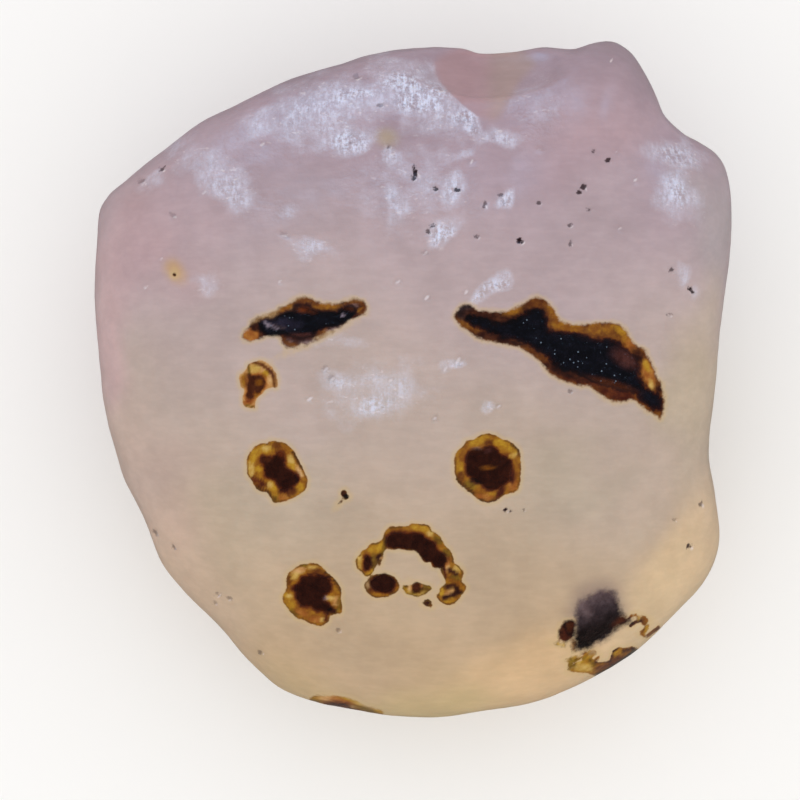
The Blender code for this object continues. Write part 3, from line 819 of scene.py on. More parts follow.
            (0.11, -15.14),
        ),),
        flecks=(
            Fleck(-0.5, -15.09, 0.22, 0.15, -20, GOLD), Fleck(-0.21, -14.83, 0.11, 0.22, 0, PEACH),
            Fleck(0.59, -14.67, 0.12, 0.11, 0, PEACH), Fleck(0.54, -15.27, 0.26, 0.07, 5, STRAW),
        ),
    ),
    "specks": Marking(
        ring=BROWN, core=BLACK,
        flecks=(
            Fleck(-4.98, -8.04, 0.23, 0.26, 0, UMBER), Fleck(-4.8, -8.3, 0.22, 0.19, 30, BLACK),
            Fleck(-5.27, -8.69, 0.22, 0.09, 45, UMBER), Fleck(1.01, -15.95, 0.33, 0.26, 0, UMBER),
            Fleck(1.3, -16.17, 0.13, 0.12, 0, BROWN), Fleck(-17.23, 7.81, 0.14, 0.17, 0, UMBER),
        ),
    ),
    "smoke": Marking(
        ring=UMBER, core=SMOKE, core_soft=0.36,
        cores=((
            (11.82, -19.25), (12.47, -19.29), (13.07, -18.92), (13.87, -18.59), (14.37, -18.13),
            (14.77, -17.81), (15.22, -17.53), (15.72, -17.19), (15.17, -16.79), (14.95, -16.47),
            (14.79, -15.87), (14.62, -15.37), (14.42, -15.09), (13.57, -15.05), (13.02, -15.29),
            (12.57, -15.57), (12.07, -15.77), (11.81, -16.37), (11.79, -17.07), (11.72, -17.87),
            (11.74, -18.57),
        ),),
        flecks=(
            Fleck(13.47, -17.02, 2.2, 0.9, 20, MURK, 0.9), Fleck(12.37, -16.22, 0.2, 0.5, 25, SMOKE, 0.3),
            Fleck(13.37, -18.12, 1.9, 0.5, 32, BLACK, 0.9), Fleck(12.37, -18.67, 0.6, 0.6, 0, BLACK, 0.5),
            Fleck(15.17, -17.09, 0.46, 0.14, 35, UMBER, 0.2),
        ),
    ),
    "side blob": Marking(
        ring=UMBER, core=UMBER, soft=0.12, core_soft=0.2,
        border=(
            (10.82, -17.35), (11.32, -17.17), (11.71, -17.33), (11.69, -17.87), (11.55, -18.37),
            (11.17, -18.79), (10.67, -18.57), (10.47, -18.15), (10.65, -17.67),
        ),
        cores=((
            (11.17, -17.35), (11.62, -17.35), (11.63, -17.77), (11.32, -18.07), (11.12, -17.87),
        ),),
        flecks=(
            Fleck(11.09, -18.03, 0.16, 0.18, 0, RUSSET, 0.12),
            Fleck(10.77, -18.55, 0.26, 0.14, 0, RUSSET, 0.12), Fleck(10.67, -18.97, 0.36, 0.12, -15, STRAW),
            Fleck(11.62, -18.97, 0.2, 0.4, 0, TAN),
        ),
    ),
    "crumb": Marking(
        ring=AMBER, core=UMBER,
        flecks=(
            Fleck(12.82, -19.67, 0.3, 0.28, 0, GOLD), Fleck(13.02, -19.57, 0.26, 0.22, 0, TAN),
            Fleck(11.57, -19.97, 0.45, 0.22, 20, STRAW),
            Stroke(AMBER, (
                (12.47, -19.35), (12.6, -19.77), (12.82, -20.07), (13.19, -20.09), (13.47, -19.79),
            ), 0.09),
            Stroke(RUSSET, ((12.62, -19.82), (12.87, -20.12), (13.22, -20.12)), 0.06),
            Stroke(OLIVE, ((11.15, -20.99), (11.22, -20.47), (11.52, -20.12), (12.02, -19.97)), 0.05),
            Stroke(OLIVE, ((11.42, -19.57), (11.77, -19.42), (12.07, -19.67)), 0.04),
        ),
    ),
    "hook": Marking(
        ring=AMBER, core=UMBER,
        flecks=(
            Fleck(15.22, -17.29, 0.42, 0.12, 28, UMBER), Fleck(16.62, -17.02, 0.34, 0.16, -20, TAN),
            Stroke(AMBER, (
                (15.57, -17.09), (15.79, -16.87), (16.17, -16.79), (16.62, -17.07), (16.95, -17.25),
            ), 0.1),
            Stroke(GOLD, ((16.17, -17.07), (16.62, -17.25), (16.92, -17.42)), 0.09),
            Stroke(UMBER, ((15.72, -17.59), (15.99, -17.34), (16.39, -17.27), (16.65, -17.41)), 0.13),
            Stroke(BROWN, ((16.62, -17.41), (16.93, -17.49), (16.85, -17.82), (16.52, -18.12)), 0.13),
            Stroke(GOLD, ((16.97, -17.52), (16.86, -17.97)), 0.09),
            Stroke(AMBER, ((16.39, -18.12), (16.67, -18.35)), 0.11),
            Stroke(BROWN, ((16.87, -18.35), (17.22, -18.12), (17.72, -17.72)), 0.12),
        ),
    ),
    "rim stain": Marking(
        ring=AMBER, core=BLACK,
        border=(
            (11.17, -20.47), (11.32, -20.12), (11.57, -19.97), (11.91, -19.89), (12.37, -19.78),
            (12.95, -20.01), (13.29, -20.19), (13.65, -20.19), (14.11, -20.12), (14.25, -19.97),
            (14.34, -19.69), (14.45, -19.37), (14.8, -19.14), (15.26, -19.2), (15.84, -19.09),
            (16.17, -19.23), (15.57, -19.72), (15.07, -20.12), (14.47, -20.52), (13.77, -20.87),
            (13.17, -21.17), (12.49, -20.99), (11.91, -20.97), (11.34, -20.92),
        ),
        flecks=(
            Fleck(12.17, -20.42, 0.9, 0.44, -10, GOLD, 0.15),
            Fleck(12.17, -20.57, 0.7, 0.2, -10, STRAW, 0.12),
            Fleck(11.69, -20.25, 0.14, 0.09, 20, BARE, 0.05), Fleck(11.55, -20.61, 0.1, 0.07, 0, BARE, 0.05),
            Fleck(12.13, -20.09, 0.1, 0.07, 0, BARE, 0.05), Fleck(11.47, -20.27, 0.2, 0.36, 20, OLIVE, 0.12),
            Fleck(12.67, -19.97, 0.4, 0.18, 10, GOLD, 0.12),
            Fleck(13.72, -20.47, 0.56, 0.22, 20, BROWN, 0.15),
            Fleck(13.57, -20.29, 0.4, 0.12, 15, AMBER, 0.1), Fleck(14.77, -19.77, 0.6, 0.4, 30, BROWN, 0.15),
            Fleck(14.87, -19.47, 0.46, 0.18, 10, GOLD, 0.15),
            Fleck(15.42, -19.37, 0.4, 0.18, 10, AMBER, 0.15),
            Fleck(14.37, -20.22, 0.24, 0.18, 0, RUSSET, 0.12),
            Stroke(UMBER, ((14.23, -20.25), (14.36, -19.79), (14.47, -19.41), (14.8, -19.17)), 0.06),
            Stroke(UMBER, ((13.05, -20.25), (13.65, -20.21), (14.11, -20.15)), 0.05),
            Stroke(BLACK, (
                (13.19, -21.19), (13.77, -20.93), (14.37, -20.61), (14.97, -20.22), (15.57, -19.75),
                (16.17, -19.31),
            ), 0.09),
            Stroke(OLIVE, ((11.79, -20.05), (12.47, -19.93), (12.89, -20.13), (13.09, -20.47)), 0.05),
            Stroke(OLIVE, ((11.31, -20.77), (11.41, -20.37), (11.79, -20.05)), 0.06),
            Stroke(UMBER, ((15.17, -19.42), (15.57, -19.32), (16.07, -19.17)), 0.08),
        ),
    ),
    "foot stain": Marking(
        ring=AMBER, core=BLACK, soft=0.09, core_soft=0.15,
        border=(
            (-7.44, -22.85), (-7.19, -22.66), (-6.76, -22.63), (-6.21, -22.66), (-5.62, -22.68),
            (-5.03, -22.74), (-4.52, -22.87), (-4.01, -23.07), (-3.58, -23.3), (-3.08, -23.48),
            (-2.53, -23.61), (-2.23, -23.74), (-2.23, -24.1), (-3.16, -24.14), (-4.14, -24.05),
            (-5.2, -23.97), (-5.96, -23.76), (-6.76, -23.46), (-7.36, -23.16),
        ),
        cores=((
            (-6.34, -23.38), (-5.79, -23.41), (-5.2, -23.4), (-4.77, -23.44), (-4.77, -24.1),
            (-5.45, -24.01), (-6.04, -23.76),
        ),),
        flecks=(
            Fleck(-7.02, -22.95, 0.3, 0.19, 0, OLIVE, 0.12), Fleck(-6.89, -22.83, 0.25, 0.07, 0, GOLD, 0.1),
            Fleck(-6.13, -22.83, 0.49, 0.15, 0, PEACH, 0.12),
            Fleck(-5.2, -22.95, 0.64, 0.21, -8, COPPER, 0.15),
            Fleck(-4.6, -22.89, 0.47, 0.08, -14, GOLD, 0.1),
            Fleck(-5.45, -23.21, 0.59, 0.11, -5, BROWN, 0.12),
            Fleck(-4.86, -23.42, 0.38, 0.11, -8, RUSSET, 0.12),
            Fleck(-4.47, -23.42, 0.1, 0.08, 0, TAN, 0.08), Fleck(-3.58, -23.37, 0.51, 0.07, -22, STRAW, 0.1),
            Fleck(-3.16, -23.54, 0.3, 0.06, -22, TAN, 0.1), Fleck(-2.48, -23.76, 0.25, 0.1, -15, GOLD, 0.1),
            Fleck(-3.37, -23.65, 0.51, 0.1, -20, OLIVE, 0.12),
            Stroke(UMBER, ((-7.31, -23.16), (-6.76, -23.4), (-6.3, -23.5)), 0.06),
            Stroke(UMBER, ((-4.81, -23.59), (-3.92, -23.8), (-3.08, -23.97)), 0.07),
        ),
    ),
}

# The veil of smoke round the dark cloud at the lower right
VEIL: tuple[Point, ...] = (
    (11.3, -19.0), (11.0, -17.2), (11.3, -15.7), (12.0, -14.6), (13.4, -14.2), (14.7, -14.4), (15.4, -15.6),
    (15.6, -17.0), (14.4, -18.1), (12.8, -19.2),
)

# The flake scar in the top edge, seen from above: a wedge with its point down
CHIP: tuple[Point, ...] = (
    (1.9, 23.4), (1.75, 22.3), (2.5, 21.1), (3.4, 20.2), (4.3, 19.5), (5.2, 19.05), (6.05, 19.1),
    (6.9, 20.4), (7.7, 21.8), (8.7, 23.1), (7.0, 24.2), (4.0, 24.2),
)

# Pits: place, half sizes, turn, depth and dirt. Each gets a bruised lip, partly chipped white stone and
# partly painted glint; those without dirt stand for small white glints.
PITS: tuple[Pit, ...] = (
    Pit(0.15, 15.2, 0.42, 0.16, 95, 0.16, 1.0), Pit(0.02, 14.75, 0.22, 0.18, 20, 0.14, 0.9),
    Pit(1.6, 14.0, 0.2, 0.16, 0, 0.14, 0.9), Pit(3.2, 13.9, 0.2, 0.18, 0, 0.14, 0.9),
    Pit(1.1, 10.85, 0.18, 0.16, 0, 0.13, 0.7), Pit(1.35, 11.3, 0.2, 0.15, 30, 0.13, 0.8),
    Pit(4.6, 10.5, 0.2, 0.16, 0, 0.14, 0.7), Pit(7.75, 10.2, 0.24, 0.22, 0, 0.16, 1.0),
    Pit(6.35, 13.5, 0.18, 0.15, 0, 0.12, 0.6), Pit(5.15, 12.8, 0.24, 0.14, 70, 0.12, 0.6),
    Pit(9.05, 12.95, 0.18, 0.15, 0, 0.12, 0.7), Pit(12.3, 14.15, 0.26, 0.18, 60, 0.14, 0.9),
    Pit(12.0, 13.75, 0.2, 0.17, 20, 0.12, 0.9), Pit(13.0, 16.7, 0.18, 0.15, 0, 0.12, 0.8),
    Pit(14.1, 16.05, 0.22, 0.18, 0, 0.14, 0.9), Pit(12.7, 12.5, 0.18, 0.14, 0, 0.12, 0.7),
    Pit(11.35, 11.35, 0.18, 0.14, 0, 0.12, 0.6), Pit(11.4, 10.05, 0.2, 0.12, 80, 0.12, 0.6),
    Pit(18.65, 8.1, 0.2, 0.16, 0, 0.14, 0.7), Pit(20.15, 6.65, 0.26, 0.16, -40, 0.14, 1.0),
    Pit(18.5, 4.85, 0.18, 0.14, 0, 0.12, 0.6), Pit(-1.75, 17.05, 0.2, 0.15, 20, 0.12, 0.6),
    Pit(-2.4, 20.0, 0.24, 0.17, 20, 0.12, 0.4), Pit(-4.1, 22.1, 0.3, 0.2, -10, 0.12, 0.3),
    Pit(-18.15, 15.45, 0.24, 0.18, 30, 0.14, 0.7), Pit(-19.65, 14.55, 0.26, 0.2, 20, 0.12, 0.35),
    Pit(11.35, -0.65, 0.18, 0.14, 0, 0.12, 0.4), Pit(6.7, -9.2, 0.2, 0.12, 35, 0.12, 1.0),
    Pit(7.0, -9.3, 0.14, 0.1, -30, 0.1, 0.8), Pit(8.0, -9.25, 0.12, 0.1, 0, 0.1, 0.9),
    Pit(20.8, -8.8, 0.2, 0.14, 60, 0.12, 0.6), Pit(20.0, -11.85, 0.26, 0.16, 20, 0.14, 0.9),
    Pit(18.9, -9.95, 0.18, 0.12, 0, 0.12, 0.4), Pit(-18.65, -10.9, 0.24, 0.12, -50, 0.12, 0.5),
    Pit(-17.35, -11.9, 0.24, 0.12, -45, 0.12, 0.5), Pit(-14.15, -15.35, 0.22, 0.12, 20, 0.12, 0.4),
    Pit(-13.35, -15.65, 0.22, 0.12, -30, 0.12, 0.4), Pit(-14.35, -16.0, 0.2, 0.12, -40, 0.12, 0.4),
    Pit(-11.05, -19.5, 0.22, 0.14, -20, 0.12, 0.5), Pit(-5.4, -17.9, 0.2, 0.14, 0, 0.12, 0.4),
    Pit(-9.25, 10.65, 0.42, 0.2, -25, 0.14, 0.1), Pit(-17.4, 12.05, 0.28, 0.22, -40, 0.13, 0.2),
    Pit(-19.35, 6.85, 0.26, 0.22, 0, 0.13, 0.0), Pit(-18.2, 8.9, 0.2, 0.26, 0, 0.1, 0.0),
    Pit(-15.1, 13.7, 0.24, 0.18, 0, 0.12, 0.0), Pit(-10.9, 17.2, 0.26, 0.18, 0, 0.12, 0.0),
    Pit(-1.1, 7.25, 0.28, 0.2, 0, 0.12, 0.0), Pit(1.0, 6.1, 0.3, 0.22, 10, 0.13, 0.0),
    Pit(3.85, 6.5, 0.28, 0.22, 20, 0.13, 0.0), Pit(0.85, 9.35, 0.26, 0.18, 0, 0.12, 0.1),
    Pit(4.2, 15.9, 0.3, 0.18, 15, 0.12, 0.0), Pit(16.1, 14.6, 0.24, 0.2, 0, 0.12, 0.0),
    Pit(14.95, 11.05, 0.24, 0.2, 0, 0.12, 0.0), Pit(14.8, 16.6, 0.24, 0.2, 0, 0.12, 0.0),
    Pit(14.3, 23.25, 0.24, 0.18, 0, 0.12, 0.0), Pit(-6.35, 1.0, 0.28, 0.22, 0, 0.14, 0.15),
    Pit(-5.9, 0.3, 0.3, 0.24, 0, 0.14, 0.15), Pit(-7.45, -1.2, 0.3, 0.22, 0, 0.13, 0.0),
    Pit(-1.6, 0.15, 0.24, 0.2, 0, 0.12, 0.0), Pit(1.6, -2.6, 0.22, 0.34, -20, 0.14, 0.05),
    Pit(3.25, 1.55, 0.34, 0.24, 20, 0.14, 0.0), Pit(2.35, 0.95, 0.3, 0.2, 20, 0.12, 0.0),
    Pit(6.15, -1.75, 0.24, 0.18, 0, 0.1, 0.1), Pit(-9.6, 7.3, 0.24, 0.2, 0, 0.1, 0.0),
    Pit(9.1, 16.8, 0.2, 0.18, 0, 0.1, 0.0),
)


@dataclass(frozen=True)
class FrostPatch(Oval):
    """An oval of skin roughened by blown sand, so that it scatters light where the rest is polished. There
    the stone's colour is also painted whiter and bluer, as the sheen of the window.

    It has its strength, and its lean: the slope by which the patch faces further towards the window than the
    skin around it does.
    """

    strength: float
    lean: float = 0.0

    def frost(self, places: np.ndarray) -> np.ndarray:
        """How frosted each place is."""
        return self.strength * self.fading(places)

    def tilted(self, places: np.ndarray, bearing: float) -> np.ndarray:
        """Height added by the lean: minus lean times distance along the bearing, faded by a bell curve."""
        run = (places[:, 0] - self.x) * math.cos(bearing) + (places[:, 1] - self.y) * math.sin(bearing)
        return -self.lean * run * np.exp(-(self.span(places) ** 2))


# Frosted patches: besides the rougher skin, the colour in them is painted whiter and bluer as the window's
# sheen
FROST: tuple[FrostPatch, ...] = (
    FrostPatch(-6.0, 19.7, 6.6, 2.5, 14, 0.6),  # veil along the top edge
    FrostPatch(1.7, 20.0, 3.2, 2.7, -35, 0.62), FrostPatch(-0.6, 22.4, 3.2, 1.2, -4, 0.6),
    FrostPatch(-0.2, 14.0, 4.4, 3.8, 0, 0.36),  # the pitted slope under it
    FrostPatch(-14.3, 15.2, 4.6, 1.7, -32, 0.45),
    FrostPatch(8.9, 20.3, 2.4, 2.3, -40, 0.3),  # right of the chip
    FrostPatch(-0.1, 21.3, 2.5, 1.4, -18, 1.0, 0.06),  # brightest brow
    FrostPatch(0.3, 20.1, 2.2, 1.2, 0, 1.0, 0.1), FrostPatch(-4.2, 20.7, 1.9, 0.95, 8, 0.85, 0.05),
    FrostPatch(-4.9, 17.5, 2.0, 1.15, 8, 0.95, 0.12), FrostPatch(3.7, 18.5, 1.5, 0.6, -32, 1.0, 0.1),
    FrostPatch(6.1, 17.5, 2.3, 0.6, 5, 0.62, 0.04), FrostPatch(-10.6, 18.5, 1.9, 1.4, 15, 0.55),
    FrostPatch(-13.3, 14.0, 2.4, 1.3, -45, 0.62, 0.03), FrostPatch(-18.9, 14.5, 1.1, 0.7, 30, 0.5),
    FrostPatch(-7.3, 9.5, 1.9, 0.9, -14, 0.72, 0.1), FrostPatch(-9.3, 12.4, 0.9, 0.5, 0, 0.45),
    FrostPatch(-1.3, 13.1, 1.3, 1.6, 0, 0.68, 0.1), FrostPatch(-1.1, 16.0, 0.6, 1.0, 10, 0.7, 0.08),
    FrostPatch(3.0, 13.6, 0.95, 1.6, -10, 0.75, 0.12), FrostPatch(3.4, 16.3, 1.6, 0.7, 20, 0.55, 0.06),
    FrostPatch(2.2, 10.6, 1.4, 0.7, 33, 1.0, 0.18), FrostPatch(6.4, 13.0, 1.0, 0.7, 40, 0.9, 0.14),
    FrostPatch(5.5, 7.0, 1.6, 0.65, 36, 0.8, 0.2), FrostPatch(-3.0, -0.8, 4.3, 2.3, 5, 0.5),
    FrostPatch(-5.2, 0.1, 1.9, 0.9, -5, 0.5, 0.05), FrostPatch(-2.3, -1.7, 2.3, 1.1, 10, 0.66, 0.06),
    FrostPatch(-1.2, -0.2, 1.1, 1.1, 0, 0.5, 0.08), FrostPatch(-5.0, 3.0, 2.2, 0.7, 0, 0.36, 0.05),
    FrostPatch(2.9, 1.2, 0.9, 0.25, 27, 0.6, 0.08), FrostPatch(5.5, -1.75, 0.9, 0.45, 18, 0.65, 0.12),
    FrostPatch(18.9, 16.3, 2.1, 1.2, 0, 0.7),  # right shoulder
    FrostPatch(19.2, 13.6, 1.7, 1.9, 0, 0.7), FrostPatch(19.4, 13.5, 0.9, 1.2, 0, 1.0),
    FrostPatch(-15.0, 6.9, 1.3, 1.1, 0, 0.42), FrostPatch(19.2, 7.9, 0.7, 0.8, 0, 0.55),
    FrostPatch(20.5, 6.5, 0.5, 0.5, 0, 0.45),
)


@dataclass(frozen=True)
class Wash(Oval):
    """A soft oval in which the stone's painted colour leans to a tint, by a share."""

    tint: Colour
    share: float
    drifting: float = 3.0

    def over(self, colours: np.ndarray, places: np.ndarray, drift: np.ndarray) -> np.ndarray:
        """Colours with the wash laid over them, its edge drifting the more the larger it is."""
        moved = places + drift * min(1.0, self.narrow() / self.drifting)
        share = self.share * self.fading(moved)[:, None]
        return colours + (np.array(self.tint) - colours) * share


# The stone's colour by height in the picture, then the washes over it. Both are partly its own tone and
# partly painted light: the bands are cooler and darker towards the top edge, where the cool window light
# falls, and warmer towards the bottom; the pale cream washes round the lower right rim paint light
# glowing through the thin edge.
BANDS: tuple[tuple[float, Colour], ...] = (
    (24.0, (0.355, 0.27, 0.325)),
    (20.8, (0.37, 0.275, 0.33)),
    (14.6, (0.41, 0.31, 0.36)),
    (5.9, (0.47, 0.37, 0.375)),
    (-2.7, (0.485, 0.385, 0.335)),
    (-11.4, (0.505, 0.385, 0.28)),
    (-18.6, (0.51, 0.365, 0.23)),
    (-23.0, (0.52, 0.375, 0.21)),
)
WASHES: tuple[Wash, ...] = (
    Wash(-19.0, 9.5, 4.5, 4.5, 0, (0.45, 0.31, 0.33), 0.8),
    Wash(12.0, 17.5, 5.0, 3.0, 30, (0.42, 0.29, 0.32), 0.7),
    Wash(14.6, 21.5, 3.5, 3.0, 0, (0.35, 0.262, 0.31), 0.8),
    Wash(-16.28, 7.4, 0.75, 0.75, 0, (0.53, 0.33, 0.15), 0.8),
    Wash(13.6, -18.4, 2.6, 1.0, 30, (0.70, 0.50, 0.30), 0.7),
    Wash(-1.9, 16.2, 0.7, 0.7, 0, (0.42, 0.33, 0.24), 0.8),
    Wash(-21.8, 2.5, 2.5, 6.0, 0, (0.52, 0.35, 0.36), 0.7),
    Wash(-19.0, -7.0, 4.0, 5.0, 0, (0.50, 0.37, 0.32), 0.7),
    Wash(-16.8, -15.7, 5.0, 3.5, -45, (0.56, 0.41, 0.30), 0.7),
    Wash(20.0, -11.4, 2.5, 4.5, 0, (0.60, 0.44, 0.29), 0.8),
    Wash(16.4, -15.7, 4.5, 3.0, 45, (0.62, 0.46, 0.28), 0.8),
    Wash(7.7, -20.8, 6.0, 2.3, 15, (0.60, 0.42, 0.24), 0.7),
    Wash(2.7, -23.0, 5.0, 1.6, 0, (0.52, 0.40, 0.20), 0.7),
    Wash(10.6, -7.0, 4.5, 3.0, 0, (0.47, 0.39, 0.30), 0.6),
    Wash(-9.6, -8.5, 5.0, 3.0, 0, (0.47, 0.385, 0.29), 0.5),
    Wash(20.5, 10.3, 2.5, 5.0, 0, (0.39, 0.34, 0.35), 0.7),
    Wash(20.0, -0.5, 3.0, 6.0, 0, (0.49, 0.395, 0.285), 0.8),
    Wash(-17.0, -11.2, 3.0, 3.0, -45, (0.60, 0.43, 0.335), 0.6),
    Wash(9.0, -19.6, 5.0, 2.4, 15, (0.68, 0.46, 0.26), 0.7),
    Wash(18.0, -12.6, 3.0, 3.0, 0, (0.66, 0.48, 0.29), 0.5),
)


Span = tuple[float, float]
Steps = tuple[float, float, float, float]


@dataclass(frozen=True)
class Noise:
    """Cloud noise around 0.5: blobs a millimetre, octaves, roughness, and its stretch along x, y and z."""

    scale: float
    detail: float = 2.0
    rough: float = 0.6
    stretch: tuple[float, float, float] = (1.0, 1.0, 1.0)


@dataclass(frozen=True)
class ChalcedonyFinish:
    """Milky pink chalcedony with a waxy wind polish. Colours are linear light, sizes millimetres.

    Steps give a noise's low and high and what each becomes. A span gives only the low and the high.
    """

    polish_range: Span = (0.28, 0.35)
    frosted: float = 0.44
    ior: float = 1.54
    gloss: float = 0.27
    frost_gloss: float = 0.42
    frost_ior: float = 1.6
    milkiness: float = 0.2
    scatter_reach: Colour = (1.0, 0.62, 0.48)
    scatter_scale: float = 1.0

    clouds: Noise = Noise(0.16, 2.0, 0.55)
    cloud_steps: Steps = (0.3, 0.7, 0.955, 1.045)
    wisps: Noise = Noise(0.5, 3.0)
    wisp_steps: Steps = (0.35, 0.65, 0.97, 1.03)
    wisp_polish: Span = (0.3, 0.7)
    streaks: Noise = Noise(1.5, 2.0, 0.6, (0.45, 1.5, 1.0))
    streak_steps: Steps = (0.35, 0.72, 0.98, 1.04)

    # Frost: where it lies the colour is painted whiter and bluer, partly frosted stone and partly painted
    # sheen of the window
    frost_white_and_sheen: Colour = (0.74, 0.76, 0.94)
    frost_sheen_share: float = 0.9
    frost_patches: Noise = Noise(0.7, 4.0)
    patch_reach: float = 0.8
    frost_span: Span = (0.12, 1.0)
    near_frost: Span = (0.05, 0.5)
    upright: Noise = Noise(1.7, 2.0, 0.65, (2.0, 0.55, 1.0))
    speckle: Noise = Noise(3.8, 3.0, 0.75)
    speckle_share: float = 0.5
    grain_span: Span = (0.40, 0.62)
    sparse: Span = (1.1, -0.1)
    sparse_share: float = 0.7
    coarse: Noise = Noise(1.8, 2.0, 0.55, (1.0, 1.7, 1.0))
    # Painted shade in the frost's pocks, the bruise colour of pit lips (partly chipped white stone, partly
    # painted glint), and the painted glint dashes
    frost_shadow: Colour = (0.22, 0.19, 0.26)
    pock_span: Span = (0.37, 0.28)
    pock_share: float = 0.6
    bruise_and_glint: Colour = (0.80, 0.73, 0.77)
    glint_dash_span: Span = (0.62, 0.74)
    glint_dash_share: float = 0.4
    lip_span: Span = (-0.05, 0.06)
    lip_share: float = 0.65
    lip_ragged: float = 0.12

    grain: Noise = Noise(2.9, 3.0)
    skin_grain: float = 0.012
    frost_grain: float = 0.18


@dataclass(frozen=True)
class StainFinish:
    """Iron and manganese stain inside the stone, with a crusty skin on its dark cores.

    Sizes are depths in millimetres, negative outside, and what follows "by" is a share of a softness.
    """

    halo: Colour = (0.58, 0.42, 0.21)
    halo_span: Span = (-0.42, 0.0)
    halo_share: float = 0.55
    outline: Colour = (0.12, 0.055, 0.006)
    outline_starts: Span = (0.0, 0.05)
    outline_ends: Span = (0.17, 0.08)
    outline_breaks: Span = (0.38, 0.56)
    clouds: Noise = Noise(1.9, 4.0, 0.62)
    ring_thickness: Steps = (0.3, 0.7, 0.92, 1.35)
    towards_core: Span = (-0.3, 0.05)
    core_thickness: Steps = (0.7, 0.3, 0.92, 1.12)
    border: Noise = Noise(2.6, 3.0)
    border_ragged: float = 0.06
    border_ragged_by: float = 3.0
    core_border: Noise = Noise(2.4, 3.0)
    core_ragged: float = 0.15
    core_ragged_by: float = 1.5
    core_blur_by: Span = (-1.0, 0.8)
    crust_span: Span = (-0.15, 0.15)
    core_roughness: float = 0.2
    crust_grain: float = 0.07
    # Painted glints in the dark cores: bluish specks standing for the window's reflection in the crust
    glint: Colour = (0.13, 0.175, 0.23)
    glint_net: float = 3.2
    glint_radius: float = 0.055
    glint_cells: float = 0.5
    glint_span: Span = (0.0, 0.5)
    smoke: Colour = (0.22, 0.155, 0.14)
    dirt: Colour = (0.026, 0.007, 0.010)
    pit_border: Noise = Noise(3.0, 2.0)
    pit_span: Span = (-0.06, 0.05)
    pit_ragged: float = 0.4


